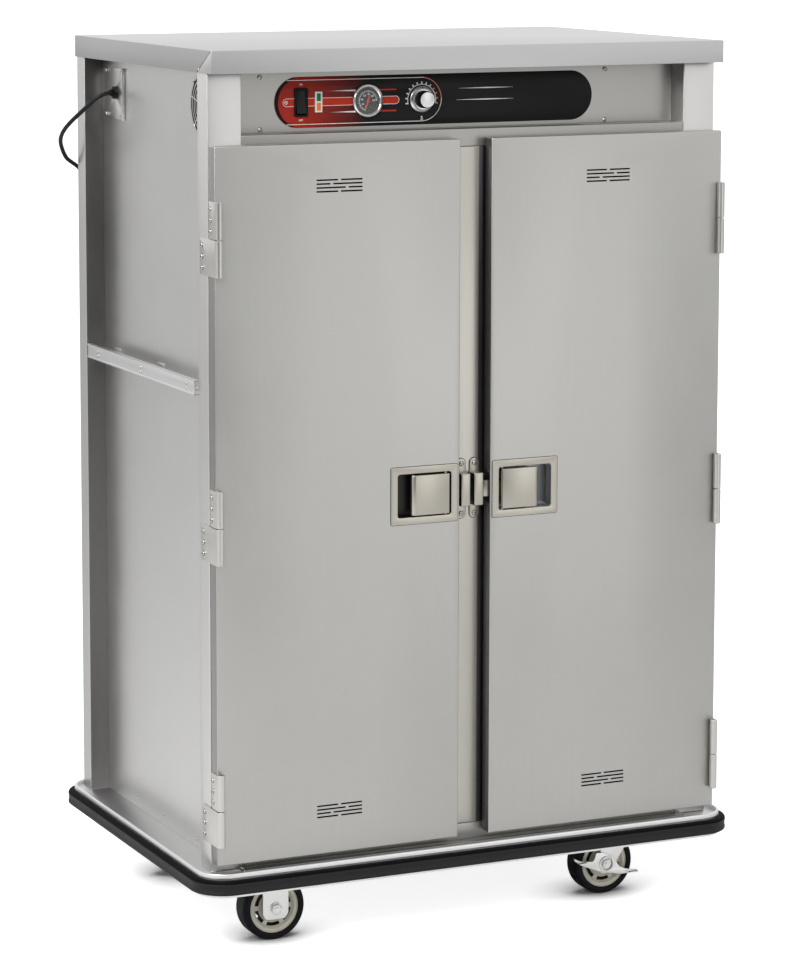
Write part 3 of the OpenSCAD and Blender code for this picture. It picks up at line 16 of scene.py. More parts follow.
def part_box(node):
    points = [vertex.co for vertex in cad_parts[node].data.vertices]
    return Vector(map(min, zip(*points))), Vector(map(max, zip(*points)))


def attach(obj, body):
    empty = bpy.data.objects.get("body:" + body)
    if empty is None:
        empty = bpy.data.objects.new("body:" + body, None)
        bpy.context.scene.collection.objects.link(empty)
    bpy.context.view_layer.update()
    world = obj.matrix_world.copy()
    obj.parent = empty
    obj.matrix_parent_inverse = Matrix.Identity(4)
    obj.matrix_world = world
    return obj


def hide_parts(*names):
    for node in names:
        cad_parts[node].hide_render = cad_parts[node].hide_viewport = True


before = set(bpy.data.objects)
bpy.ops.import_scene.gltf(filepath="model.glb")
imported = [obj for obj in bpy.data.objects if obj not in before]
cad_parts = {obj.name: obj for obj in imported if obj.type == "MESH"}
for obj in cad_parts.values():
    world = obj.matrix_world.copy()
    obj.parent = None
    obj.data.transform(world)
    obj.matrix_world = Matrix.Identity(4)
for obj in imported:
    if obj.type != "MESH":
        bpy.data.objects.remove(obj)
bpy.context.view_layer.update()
MM = 0.001
BOX = {node: [np.array(corner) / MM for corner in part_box(node)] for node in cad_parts}
scene = bpy.context.scene


def placed(name, data):
    """Object linked to the scene."""
    made = bpy.data.objects.new(name, data)
    scene.collection.objects.link(made)
    return made


print("frame loaded:", len(BOX), "nodes")

# %% [markdown]
# ## Camera
# A long lens from the left, about seven metres away and just above the cabinet, looks
# down by seven degrees. A small downward shift brings the verticals closer to parallel,
# as the photograph has them, and leaves room around the object in the other views.

# %%
CAMERA_AT = (-2.8969, -6.2089, 2.0023)
CAMERA_TURN, CAMERA_DOWN, CAMERA_ROLL = -24.389, 7.313, 0.027
FOCAL_PX, PICTURE_W, SENSOR = 3438.7, 800.0, 36.0

camera_data = bpy.data.cameras.new("camera")
camera_data.sensor_fit, camera_data.sensor_width = "HORIZONTAL", SENSOR
camera_data.lens = FOCAL_PX / PICTURE_W * SENSOR
camera_data.shift_x, camera_data.shift_y = 0.055, -0.2
camera_data.clip_end = 100
camera = placed("camera", camera_data)
aim = Matrix.Rotation(radians(CAMERA_TURN), 4, "Z") @ Matrix.Rotation(radians(90 - CAMERA_DOWN), 4, "X")
camera.matrix_world = Matrix.Translation(CAMERA_AT) @ aim @ Matrix.Rotation(radians(CAMERA_ROLL), 4, "Z")
bpy.context.scene.camera = camera
print("camera at", CAMERA_AT)

# %% [markdown]
# ## Materials
# Shared effects are node groups that give only values: a brushed grain that is long
# along one axis, soft patches of handling, and fine scratches. Each material mixes them
# into colour, roughness and bump of one Principled shader.


# %%
def add(tree, kind, inputs, **settings):
    """Shader node with its settings; each input {label: value} is a number, a vector or a socket."""
    node = tree.nodes.new("ShaderNode" + kind)
    for label, value in settings.items():
        setattr(node, label, value)
    for label, value in inputs.items():
        if isinstance(value, bpy.types.NodeSocket):
            tree.links.new(value, node.inputs[label])
        else:
            node.inputs[label].default_value = value
    return node


def noise(tree, vector, scale, detail=3.0, rough=0.55):
    """Noise texture on a vector, its factor between 0 and 1."""
    inputs = {"Vector": vector, "Scale": scale, "Detail": detail, "Roughness": rough}
    return add(tree, "TexNoise", inputs).outputs["Fac"]


def stretch(tree, vector, scale):
    """The vector times a scale for each axis."""
    return add(tree, "VectorMath", {0: vector, 1: scale}, operation="MULTIPLY").outputs[0]


def remap(tree, value, a, b, to_a=0.0, to_b=1.0):
    """Takes the range a to b of a value to another range, clamped."""
    inputs = {"Value": value, "From Min": a, "From Max": b, "To Min": to_a, "To Max": to_b}
    return add(tree, "MapRange", inputs).outputs["Result"]


def combine(tree, kind, a, b):
    """Math of two values, each a socket or a number."""
    return add(tree, "Math", {0: a, 1: b}, operation=kind).outputs[0]


def value_group(name, labels, build):
    """Node group with vector inputs and one value output, built by a function."""
    group = bpy.data.node_groups.new(name, "ShaderNodeTree")
    for label in labels:
        group.interface.new_socket(label, in_out="INPUT", socket_type="NodeSocketVector")
    group.interface.new_socket("Value", in_out="OUTPUT", socket_type="NodeSocketFloat")
    start = group.nodes.new("NodeGroupInput")
    end = group.nodes.new("NodeGroupOutput")
    group.links.new(build(group, *[start.outputs[label] for label in labels]), end.inputs["Value"])
    return group


def build_grain(group, vector, squeeze):
    """Fine lines along one axis: the vector is squeezed across the lines."""
    return remap(group, noise(group, stretch(group, vector, squeeze), 1.0, 4.0, 0.65), 0.3, 0.7)


def build_patches(group, vector):
    """Broad soft patches, such as wiping leaves."""
    broad, small = noise(group, vector, 3.1, 4.0, 0.6), noise(group, vector, 17.0, 3.0, 0.6)
    return remap(group, combine(group, "ADD", broad, combine(group, "MULTIPLY", small, 0.35)), 0.45, 0.85)


def build_scratches(group, vector):
    """Sparse thin scratches: the valleys of a stretched cell pattern, where a noise is high."""
    cells = add(group, "TexVoronoi", {"Vector": stretch(group, vector, (90.0, 90.0, 7.0))}, feature="DISTANCE_TO_EDGE")
    line = remap(group, cells.outputs["Distance"], 0.012, 0.0)
    return combine(group, "MULTIPLY", line, remap(group, noise(group, vector, 9.0, 2.0), 0.58, 0.7))


GRAIN = value_group("brushed_grain", ["Vector", "Stretch"], build_grain)
PATCHES = value_group("soft_patches", ["Vector"], build_patches)
SCRATCHES = value_group("fine_scratches", ["Vector"], build_scratches)


class Paint:
    """One material under construction, with its tree, shader and object coordinates."""

    def __init__(self, name, color, metallic=0.0, roughness=0.5, **sockets):
        self.material = bpy.data.materials.new(name)
        self.material.use_nodes = True
        self.tree, self.color = self.material.node_tree, color
        self.shader = self.tree.nodes["Principled BSDF"]
        sockets.update(Base_Color=(*color, 1.0), Metallic=metallic, Roughness=roughness)
        for label, value in sockets.items():
            self.shader.inputs[label.replace("_", " ")].default_value = value
        self.where = add(self.tree, "TexCoord", {}).outputs["Object"]

    def use(self, group, **inputs):
        """Value of a node group at the surface."""
        return add(self.tree, "Group", {"Vector": self.where, **inputs}, node_tree=group).outputs["Value"]

    def mix_color(self, value, low, high):
        """Base colour between two colours, by a value."""
        mix = add(self.tree, "Mix", {0: value, 6: (*low, 1.0), 7: (*high, 1.0)}, data_type="RGBA")
        self.tree.links.new(mix.outputs[2], self.shader.inputs["Base Color"])

    def vary_roughness(self, value, low, high):
        """Roughness between low and high, by a value."""
        self.tree.links.new(remap(self.tree, value, 0.0, 1.0, low, high), self.shader.inputs["Roughness"])

    def bump(self, value, strength, distance):
        """Bump from a value, distance in millimetres; gives the finished material."""
        node = add(self.tree, "Bump", {"Strength": strength, "Distance": distance * MM, "Height": value})
        self.tree.links.new(node.outputs["Normal"], self.shader.inputs["Normal"])
        return self.material

    def vary(self, tone, low, high, gloss, spread=(-0.05, 0.06)):
        """Varies the colour by a tone, from low to high times itself, and the roughness by a gloss."""
        self.mix_color(tone, *[[min(c * share, 1.0) for c in self.color] for share in (low, high)])
        middle = self.shader.inputs["Roughness"].default_value
        self.vary_roughness(gloss, *[middle + step for step in spread])

    def across_x(self, x0, x1, near, far, both_ways=False):
        """Base colour from near to far between two x, in metres, or on both sides of 0."""
        place = add(self.tree, "SeparateXYZ", {0: self.where}).outputs["X"]
        if both_ways:
            place = combine(self.tree, "ABSOLUTE", place, 0.0)
        self.mix_color(remap(self.tree, place, x0, x1), near, far)


def brushed(name, color, roughness, across, strength=0.12):
    """Brushed sheet metal. across squeezes the pattern on each axis: high across the grain."""
    paint = Paint(name, color, 1.0, roughness)
    tree, grain, patches = paint.tree, paint.use(GRAIN, Stretch=across), paint.use(PATCHES)
    both = combine(tree, "ADD", combine(tree, "MULTIPLY", grain, 0.6), combine(tree, "MULTIPLY", patches, 0.4))
    paint.vary(combine(tree, "MULTIPLY", grain, patches), 0.955, 1.03, both)
    scratches = combine(tree, "MULTIPLY", paint.use(SCRATCHES), 0.8)
    return paint.bump(combine(tree, "SUBTRACT", grain, scratches), strength, 0.02)


def moulded(name, color, roughness, texture=1800.0, strength=0.1, specular=0.5):
    """Plastic or rubber with a fine grain and slightly uneven gloss."""
    paint = Paint(name, color, roughness=roughness, Specular_IOR_Level=specular)
    paint.vary(paint.use(PATCHES), 0.88, 1.12, paint.use(PATCHES))
    return paint.bump(noise(paint.tree, paint.where, texture, 2.0), strength, 0.03)


UPRIGHT = (900.0, 900.0, 6.0)
LEVEL_X = (6.0, 900.0, 900.0)
LEVEL_Y = (900.0, 6.0, 900.0)
STEEL = brushed("steel_upright_grain", (0.50, 0.495, 0.475), 0.36, UPRIGHT)
STEEL_POST = brushed("steel_posts", (0.68, 0.665, 0.65), 0.32, UPRIGHT)
STEEL_X = brushed("steel_level_grain", (0.41, 0.405, 0.385), 0.38, LEVEL_X)
# Painted shade: a darker steel for the recessed control panel under the cap's overhang.
STEEL_RECESS_SHADE = brushed("steel_recess_painted_shade", (0.42, 0.415, 0.395), 0.36, LEVEL_X)
STEEL_CAP = brushed("steel_cap", (0.55, 0.55, 0.548), 0.34, LEVEL_X)
# Sideways grain, and a darker colour that is painted shade, for the sides of the cap.
STEEL_CAP_SIDE_SHADE = brushed("steel_cap_side_painted_shade", (0.43, 0.43, 0.428), 0.34, LEVEL_Y)
STEEL_SIDE = brushed("steel_side", (0.68, 0.677, 0.663), 0.33, UPRIGHT)
STEEL_REAR = brushed("steel_rear_posts", (0.56, 0.558, 0.55), 0.33, UPRIGHT)
# Painted shade: a darker steel for the doors' outer edges.
STEEL_EDGE_SHADE = brushed("steel_door_edge_painted_shade", (0.33, 0.322, 0.32), 0.33, UPRIGHT)
# Painted shade: a dark steel for the rear posts' front-facing steps and the doors' inner edges.
STEEL_SHADE = brushed("steel_painted_shade", (0.19, 0.182, 0.18), 0.3, UPRIGHT)
STEEL_INSIDE = brushed("steel_inside", (0.52, 0.52, 0.51), 0.42, LEVEL_Y)
NICKEL = brushed("nickel_pressing", (0.50, 0.475, 0.415), 0.33, LEVEL_X)
# Painted shade: a dark and a half-dark nickel for the latch pans and strikes.
NICKEL_SHADE = brushed("nickel_in_shade", (0.045, 0.044, 0.042), 0.4, UPRIGHT)
NICKEL_HALF_SHADE = brushed("nickel_half_shade", (0.36, 0.37, 0.385), 0.35, UPRIGHT)
HINGE_STEEL = brushed("hinge_plate", (0.64, 0.63, 0.60), 0.3, UPRIGHT)
ALUMINIUM = brushed("bright_aluminium", (0.78, 0.78, 0.78), 0.3, LEVEL_Y)
DECK_METAL = brushed("deck_sheet", (0.63, 0.63, 0.635), 0.32, LEVEL_X)
TOE_METAL = brushed("toe_sheet", (0.40, 0.40, 0.385), 0.34, LEVEL_X)
ZINC = brushed("zinc_plate", (0.80, 0.80, 0.78), 0.32, (120.0, 120.0, 120.0), 0.2)
SATIN_KNOB = brushed("turned_knob", (0.72, 0.72, 0.72), 0.26, (1200.0, 60.0, 1200.0))
CHROME = brushed("chrome", (0.72, 0.72, 0.72), 0.12, (300.0, 300.0, 300.0), 0.03)
HEATER_METAL = brushed("heater_sheath", (0.28, 0.24, 0.21), 0.5, (80.0, 80.0, 80.0), 0.3)
BRASS = brushed("brass_blades", (0.72, 0.52, 0.25), 0.28, LEVEL_Y)
BUMPER_RUBBER = moulded("bumper_rubber", (0.014, 0.014, 0.014), 0.5, 900.0, 0.12, 0.2)
LIP_RUBBER = moulded("bumper_lip_rubber", (0.0035, 0.0035, 0.0035), 0.6, 900.0, 0.05, 0.04)
TYRE_RUBBER = moulded("tyre_rubber", (0.006, 0.005, 0.008), 0.55, 700.0, 0.2, 0.12)
SEAL_RUBBER = moulded("seal_rubber", (0.02, 0.02, 0.02), 0.6)
CORD_RUBBER = moulded("cord_jacket", (0.006, 0.006, 0.007), 0.42, 1500.0, 0.15, 0.2)
BLACK_PLASTIC = moulded("black_plastic", (0.006, 0.006, 0.007), 0.38, specular=0.15)
FAN_PLASTIC = moulded("fan_plastic", (0.016, 0.016, 0.018), 0.5)
CREAM_RIM = moulded("cream_rim", (0.62, 0.60, 0.50), 0.42, 600.0, 0.15)
RIM_SHADE = moulded("rim_window_shade", (0.05, 0.045, 0.03), 0.7, 600.0, 0.15)
WHITE_PLASTIC = moulded("white_plastic", (0.78, 0.78, 0.76), 0.3)
PRINT_WHITE = moulded("white_print", (0.83, 0.83, 0.81), 0.4)
PRINT_RED = moulded("red_print", (0.52, 0.035, 0.016), 0.35, specular=0.12)
NEEDLE_RED = moulded("needle_enamel", (0.55, 0.02, 0.015), 0.35)
GREEN_LENS = moulded("green_lens", (0.004, 0.17, 0.055), 0.25, specular=0.15)
AMBER_LENS = moulded("amber_lens", (0.95, 0.20, 0.025), 0.25, specular=0.15)
PRINT_WARM = moulded("warm_print", (0.66, 0.16, 0.13), 0.35)
GLOSS_BLACK = moulded("gloss_black", (0.007, 0.006, 0.007), 0.24, 900.0, 0.04, 0.22)
DIAL_BLACK = moulded("dial_black", (0.008, 0.008, 0.009), 0.5, specular=0.1)
# Painted shade: black for the vent slots, screw recesses, shadow gaps, the strike's keep and the edge of the cap's
# painted reflection.
SHADE_BLACK = moulded("painted_shade_black", (0.006, 0.006, 0.006), 0.8, specular=0.05)
MOTOR_GREY = moulded("motor_enamel", (0.2, 0.21, 0.23), 0.45, 400.0, 0.2)

# Printed film: deep red at the left that fades to black across the dial, and white print
# that comes up out of the red.
FILM_RED, FILM_DARK, FADING = (0.37, 0.026, 0.015), (0.009, 0.009, 0.009), (0.83, 0.83, 0.81)
paint = Paint("overlay_film", FILM_DARK, roughness=0.3, Specular_IOR_Level=0.14)
paint.across_x(-0.33, -0.195, FILM_RED, FILM_DARK)
paint.vary_roughness(paint.use(PATCHES), 0.26, 0.34)
FILM = paint.bump(noise(paint.tree, paint.where, 1200.0, 2.0), 0.05, 0.02)
paint = Paint("fading_print", FADING, roughness=0.4)
paint.across_x(-0.275, -0.235, (0.2, 0.06, 0.05), FADING)
paint.vary_roughness(paint.use(PATCHES), 0.35, 0.45)
FADING_WHITE = paint.material

# The mullion's colour is bright in the middle; the strips beside the doors carry a painted reflection of their dark
# edges.
paint = Paint("steel_mullion", (0.62, 0.6, 0.56), 1.0, 0.32)
paint.across_x(0.021, 0.0235, (0.53, 0.51, 0.465), (0.13, 0.125, 0.14), both_ways=True)
grain = paint.use(GRAIN, Stretch=UPRIGHT)
paint.vary_roughness(grain, 0.28, 0.38)
STEEL_MULLION = paint.bump(grain, 0.12, 0.02)

# Clear cover glass lets light through without bending it.
paint = Paint("cover_glass", (1.0, 1.0, 1.0), roughness=0.03, IOR=1.3, Alpha=0.06)
paint.vary_roughness(paint.use(PATCHES), 0.02, 0.06)
GLASS = paint.material
print("materials:", len(bpy.data.materials))

# %% [markdown]
# ## Shapes
# A shape is a pair of vertices, in millimetres, and faces. Small functions make boxes with
# rounded edges, turned bodies, flat plates cut from outlines, and mouldings swept round the
# base. `make` turns a shape into an object that rides on a body of the frame.


# %%
def from_bmesh(bm):
    """Vertices and faces of a bmesh, which is freed."""
    bm.verts.index_update()
    shape = (np.array([v.co[:] for v in bm.verts]).reshape(-1, 3), [[v.index for v in f.verts] for f in bm.faces])
    bm.free()
    return shape


def from_curve(curve):
    """Bmesh of a curve or text, which is removed."""
    holder = bpy.data.objects.new("holder", curve)
    mesh = bpy.data.meshes.new_from_object(holder)
    bm = bmesh.new()
    bm.from_mesh(mesh)
    bpy.data.objects.remove(holder)
    bpy.data.curves.remove(curve)
    bpy.data.meshes.remove(mesh)
    return bm


def on_circle(r, angles, at=(0.0, 0.0)):
    """Points at a radius from a centre, at angles in radians."""
    return [(at[0] + r * cos(a), at[1] + r * sin(a)) for a in angles]


def circle(r, n=32, at=(0.0, 0.0)):
    """Circle outline."""
    return on_circle(r, [2 * pi * i / n for i in range(n)], at)


def arc_strip(r0, r1, a0, a1, n=24):
    """Outline of a strip between two radii and two angles in degrees."""
    angles = [radians(a0 + (a1 - a0) * i / n) for i in range(n + 1)]
    return on_circle(r1, angles) + on_circle(r0, angles[::-1])


def round_corners(half_w, half_d, radius, seg=12):
    """Outline of a rectangle with round corners, and the outward direction at each point."""
    points, normals = [], []
    for cx, cy, a0 in ((1, 1, 0), (-1, 1, 90), (-1, -1, 180), (1, -1, 270)):
        for out in on_circle(1.0, [radians(a0 + 90 * i / seg) for i in range(seg + 1)]):
            points.append((cx * (half_w - radius) + radius * out[0], cy * (half_d - radius) + radius * out[1]))
            normals.append(out)
    return np.array(points), np.array(normals)


def rect(w, h, r, seg=6):
    """Centred rectangle outline with round corners."""
    return [tuple(p) for p in round_corners(w / 2, h / 2, min(r, w / 2 - 1e-3, h / 2 - 1e-3), seg)[0]]


def shifted(loop, dx, dy=0):
    """Outline moved in its plane."""
    return [(x + dx, y + dy) for x, y in loop]


def rbox(lo, hi, r=1.0, seg=2):
    """Box between two corners with all its edges rounded to radius r."""
    lo, hi = np.minimum(lo, hi), np.maximum(lo, hi)
    bm = bmesh.new()
    bmesh.ops.create_cube(bm, size=1.0)
    for v in bm.verts:
        v.co = Vector((np.array(v.co) + 0.5) * (hi - lo) + lo)
    r = min(r, 0.49 * float((hi - lo).min()))
    if r > 0:
        bmesh.ops.bevel(bm, geom=list(bm.edges), offset=r, segments=seg, affect="EDGES", profile=0.5)
    return from_bmesh(bm)


def lathe(profile, n=48):
    """Turned body about Z from (radius, height) points; points on the axis close it."""
    verts, faces, rings = [], [], []
    for r, z in profile:
        ring = [(0.0, 0.0)] if r < 1e-6 else circle(r, n)
        rings.append(range(len(verts), len(verts) + len(ring)))
        verts += [(x, y, z) for x, y in ring]
    pairs = list(zip(rings, rings[1:]))
    if len(rings[0]) > 1 and len(rings[-1]) > 1:
        pairs.append((rings[-1], rings[0]))
    for a, b in pairs:
        for i in range(n):
            j = (i + 1) % n
            if len(a) == 1 and len(b) > 1:
                faces.append([a[0], b[j], b[i]])
            elif len(b) == 1 and len(a) > 1:
                faces.append([a[i], a[j], b[0]])
            elif len(a) > 1:
                faces.append([a[i], a[j], b[j], b[i]])
    return np.array(verts), faces


def rod(r, z0, z1, n=20):
    """Round rod about Z."""
    return lathe([(0, z0), (r, z0), (r, z1), (0, z1)], n)


def plate(loops, thick, bevel=0.3, seg=2):
    """Flat plate in the XY plane from z = 0 to thick; the first loop is its outline, the rest holes."""
    curve = bpy.data.curves.new("plate", "CURVE")
    curve.dimensions, curve.fill_mode = "2D", "BOTH"
    for loop in loops:
        spline = curve.splines.new("POLY")
        spline.points.add(len(loop) - 1)
        spline.points.foreach_set("co", np.array([(x, y, 0.0, 1.0) for x, y in loop]).ravel())
        spline.use_cyclic_u = True
    curve.extrude = thick / 2 - bevel
    curve.bevel_depth, curve.offset, curve.bevel_resolution = bevel, -bevel, seg - 1
    bm = from_curve(curve)
    bmesh.ops.remove_doubles(bm, verts=bm.verts, dist=1e-4)
    verts, faces = from_bmesh(bm)
    return verts + (0.0, 0.0, thick / 2), faces


def ring_faces(rings, n, closed):
    """Quads between neighbouring rings of n points."""
    return [[i * n + j, i * n + (j + 1) % n, (i + 1) % rings * n + (j + 1) % n, (i + 1) % rings * n + j]
            for i in range(rings if closed else rings - 1) for j in range(n)]


def tube(points, radius, n):
    """Round tube along points, its rings square to the path."""
    ahead = np.gradient(points, axis=0)
    ahead /= np.linalg.norm(ahead, axis=1)[:, None]
    side = np.cross(ahead, (0.3, 0.5, 0.81))
    side /= np.linalg.norm(side, axis=1)[:, None]
    up = np.cross(ahead, side)
    angle = 2 * pi * np.arange(n) / n
    ring = side[:, None] * np.cos(angle)[None, :, None] + up[:, None] * np.sin(angle)[None, :, None]
    verts = (points[:, None] + radius * ring).reshape(-1, 3)
    ends = [list(range(n))[::-1], list(range(len(verts) - n, len(verts)))]
    return verts, ring_faces(len(points), n, False) + ends


def moulding(profile, seg=12):
    """Closed strip round the base, its section a loop of (inset, height) points."""
    points, normals = round_corners(HALF_W, HALF_D, CORNER_R, seg)
    verts = [(*(p - out * inset), z) for p, out in zip(points, normals) for inset, z in profile]
    return np.array(verts), ring_faces(len(points), len(profile), True)


FRONT = Matrix(((1, 0, 0), (0, 0, -1), (0, 1, 0)))
RIGHT = Matrix(((0, 0, 1), (1, 0, 0), (0, 1, 0)))
LEFT = Matrix(((0, 0, -1), (-1, 0, 0), (0, 1, 0)))
TOP = Matrix.Identity(3)


def put(shape, at=(0.0, 0.0, 0.0), facing=TOP, turn=0.0):
    """Turns a shape in its plane by degrees, faces its Z axis another way and moves it."""
    spin = Matrix.Rotation(radians(turn), 3, "Z")
    return shape[0] @ np.array(facing @ spin).T + np.array(at, float), shape[1]


def front(shape, x, y, z, turn=0.0):
    """The shape facing the front, at a place."""
    return put(shape, (x, y, z), FRONT, turn)


def mirrored(shape):
    """The shape on the other side of the plane x = 0."""
    return shape[0] * (-1, 1, 1), [f[::-1] for f in shape[1]]


def joined(*shapes):
    """Several shapes as one."""
    verts, faces, base = [], [], 0
    for v, f in shapes:
        verts.append(v)
        faces += [[i + base for i in face] for face in f]
        base += len(v)
    return np.concatenate(verts), faces


def outward_mesh(name, shape, side, materials):
    """Mesh of a shape, mirrored for side -1, with its normals outward."""
    verts, faces = shape if side > 0 else mirrored(shape)
    mesh = bpy.data.meshes.new(name)
    mesh.from_pydata(verts * MM, [], faces)
    for material in materials:
        mesh.materials.append(material)
    bm = bmesh.new()
    bm.from_mesh(mesh)
    bmesh.ops.recalc_face_normals(bm, faces=bm.faces)
    bm.to_mesh(mesh)
    bm.free()
    return mesh


def smooth(mesh, sharp):
    """Smooth shading between the edges that are sharper than an angle in degrees."""
    mesh.polygons.foreach_set("use_smooth", np.ones(len(mesh.polygons), bool))
    mesh.set_sharp_from_angle(angle=radians(sharp))


def make(name, parts, stands_for=(), body="cabinet", side=1, sharp=35.0):
    """Object that rides on a body, from (shape or list of shapes, material) pairs; mirrored for side -1."""
    parts = [parts] if isinstance(parts, tuple) else parts
    shapes = [joined(*shape) if isinstance(shape, list) else shape for shape, _ in parts]
    mesh = outward_mesh(name, joined(*shapes), side, [material for _, material in parts])
    index = np.repeat(np.arange(len(parts)), [len(shape[1]) for shape in shapes])
    mesh.polygons.foreach_set("material_index", index.astype(np.int32))
    smooth(mesh, sharp)
    made = placed(name, mesh)
    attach(made, body)
    if stands_for:
        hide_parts(*([stands_for] if isinstance(stands_for, str) else stands_for))
    return made


def finish_cad(node, material, sharp=30.0):
    """Gives a CAD node its material and smooth shading between its sharp edges."""
    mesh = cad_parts[node].data
    mesh.materials.clear()
    mesh.materials.append(material)
    smooth(mesh, sharp)


def repaint(made, material, test):
    """Gives a material to the faces whose middle, in millimetres, and normal pass a test."""
    mesh = made.data
    mesh.materials.append(material)
    for face in mesh.polygons:
        if test(np.array(made.matrix_world @ face.center) / MM, face.normal):
            face.material_index = len(mesh.materials) - 1


def sideways(middle, normal):
    """Test for the faces that look to the left or right."""
    return abs(normal.x) > 0.8


def cut(target, shape, material, side=1):
    """Cuts a closed shape out of an object; the new walls take the material."""
    cutter = placed("cutter", outward_mesh("cutter", shape, side, [material]))
    step = target.modifiers.new("cut", "BOOLEAN")
    step.operation, step.solver, step.object, step.material_mode = "DIFFERENCE", "EXACT", cutter, "TRANSFER"
    bpy.context.view_layer.update()
    result = bpy.data.meshes.new_from_object(target.evaluated_get(bpy.context.evaluated_depsgraph_get()))
    target.modifiers.clear()
    target.data = result
    target.data.set_sharp_from_angle(angle=radians(30))
    bpy.data.objects.remove(cutter)


def screws(name, places, facing, material, r=4.2, h=2.6, side=1, body="cabinet"):
    """Pan-head screws: each a dome, with painted shade as two black bars for its cross recess and a black ring under
    it.
    """
    dome = [(r * sin(a), h * (0.35 + 0.65 * cos(a) ** 0.8)) for a in [radians(d) for d in (15, 35, 55, 72, 84)]]
    head = lathe([(0.0, h), *dome, (r, h * 0.3), (r, -0.4), (0.0, -0.4)], 20)
    bar = rbox((-r * 0.55, -r * 0.11, h * 0.86), (r * 0.55, r * 0.11, h * 1.015), 0.0)
    dark = (joined(*[put(bar, turn=turn) for turn in (20, 110)]), rod(r + 0.7, -0.4, 0.15))
    make(name, [([put(head, at, facing) for at in places], material),
                ([put(shape, at, facing) for at in places for shape in dark], SHADE_BLACK)], body=body, side=side)


print("shape functions ready")

# %% [markdown]
# ## Power cord
# The cord leaves its boot to the left, swings round the rear corner and hangs behind the
# cabinet. What is left over lies on the floor in two layers of turns that spiral in and
# out again, and the plug lies beside them.

# %%
CORD_D = 8.5
GLAND_Y, GLAND_Z = 243.4, 1593.5
CORD_ROUTE = [
    (-0.498, 0.2434, 1.5935), (-0.506, 0.2434, 1.5935), (-0.514, 0.2434, 1.593), (-0.527, 0.245, 1.589),
    (-0.541, 0.249, 1.580), (-0.558, 0.268, 1.559), (-0.572, 0.297, 1.536), (-0.578, 0.327, 1.516),
    (-0.576, 0.355, 1.496), (-0.566, 0.376, 1.4755), (-0.549, 0.393, 1.4525), (-0.523, 0.404, 1.435),
    (-0.507, 0.412, 1.415), (-0.500, 0.417, 1.388), (-0.495, 0.420, 1.350), (-0.491, 0.422, 1.280),
    (-0.475, 0.422, 1.100), (-0.459, 0.422, 0.900), (-0.443, 0.422, 0.700), (-0.427, 0.422, 0.500),
    (-0.411, 0.422, 0.300), (-0.400, 0.422, 0.150), (-0.396, 0.422, 0.090), (-0.395, 0.422, 0.052),
    (-0.395, 0.4255, 0.0325), (-0.395, 0.435, 0.018), (-0.395, 0.450, 0.0085), (-0.395, 0.467, 0.0048),
    (-0.395, 0.480, 0.00425),
]
COIL_TURNS, COIL_SEG, COIL_TAIL = 4, 24, 40.0
COIL_OUT_R, COIL_PITCH = 56.5, CORD_D + 0.8
COIL_START_X, COIL_Y = -395.0, 488.5


def through(points, steps):
    """Smooth curve through points, with that many steps between each two."""
    p = np.array(points, float)
    padded = np.concatenate([p[:1], p, p[-1:]])
    out = []
    for i in range(len(p) - 1):
        a, b, c, d = padded[i:i + 4]
        for u in np.arange(steps) / steps:
            out.append(0.5 * (2 * b + (c - a) * u + (2 * a - 5 * b + 4 * c - d) * u * u
                              + (3 * b - a - 3 * c + d) * u ** 3))
    return np.array(out + [p[-1]])


def coil_line():
    """Points of the coil: the radius shrinks over the lower turns and grows over the upper ones."""
    half = COIL_TURNS / 2
    t = np.arange(COIL_SEG * COIL_TURNS + 1) / COIL_SEG
    radius = np.where(t < half, COIL_OUT_R - COIL_PITCH * t, COIL_OUT_R - COIL_PITCH * (COIL_TURNS - t))
    s = np.clip((t - half + 0.25) / 0.5, 0, 1)
    height = CORD_D / 2 + COIL_PITCH * (3 * s ** 2 - 2 * s ** 3)
    angle = np.radians(180 - 360 * t)
    turns = np.stack([COIL_START_X + COIL_OUT_R + radius * np.cos(angle), COIL_Y + radius * np.sin(angle), height], 1)
    return np.concatenate([turns, [[COIL_START_X, COIL_Y + COIL_TAIL, height[-1]]]])


line = through(np.concatenate([(through(CORD_ROUTE, 2) / MM)[1:], coil_line()]), 3)
cord = make("power_cord_line", (tube(line, CORD_D / 2, 12), CORD_RUBBER), ["power_cord", "cord_coil"], sharp=60)
finish_cad("power_plug", CORD_RUBBER)

# %% [markdown]
# ## Base
# The rubber strip has rounded lips. The deck sheet ends in a bright turned-up rim just
# inside it, and a raised toe plate lies in front of the door frame.

# %%
bumper_low, (HALF_W, HALF_D, bumper_top) = BOX["bumper"][0][2], BOX["bumper"][1]
BUMPER_T, CORNER_R, DECK_TOP = 13.0, 68.0, 152.0
TOE_TOP = BOX["front_posts"][0][2] + 3.0

low_lip = [(3.5 - 3.5 * cos(a), bumper_low + 3.5 + 3.5 * sin(a)) for a in np.radians(np.linspace(-90, 0, 6)[1:])]
face_strip = [(BUMPER_T, bumper_low), *low_lip, (0.0, bumper_low + 5.5), (1.0, bumper_low + 6.8),
              (1.0, bumper_top - 9.2), (0.0, bumper_top - 8.0), (0.0, bumper_top - 5.6), (0.7, bumper_top - 4.8),
              (BUMPER_T, bumper_top - 4.8)]
top_lip = [(BUMPER_T, bumper_top - 4.9), (0.6, bumper_top - 4.9), (0.6, bumper_top - 3.2), (2.2, bumper_top - 0.9),
           (4.5, bumper_top), (BUMPER_T, bumper_top)]
make("bumper_strip", [(moulding(face_strip), BUMPER_RUBBER), (moulding(top_lip), LIP_RUBBER)], "bumper",
     sharp=50)
deck_half_w, deck_half_d, rim_top = BOX["deck"][1]
deck_sheet = plate([rect(2 * deck_half_w, 2 * deck_half_d, CORNER_R - BUMPER_T, 12)], 2.5, 0.4)
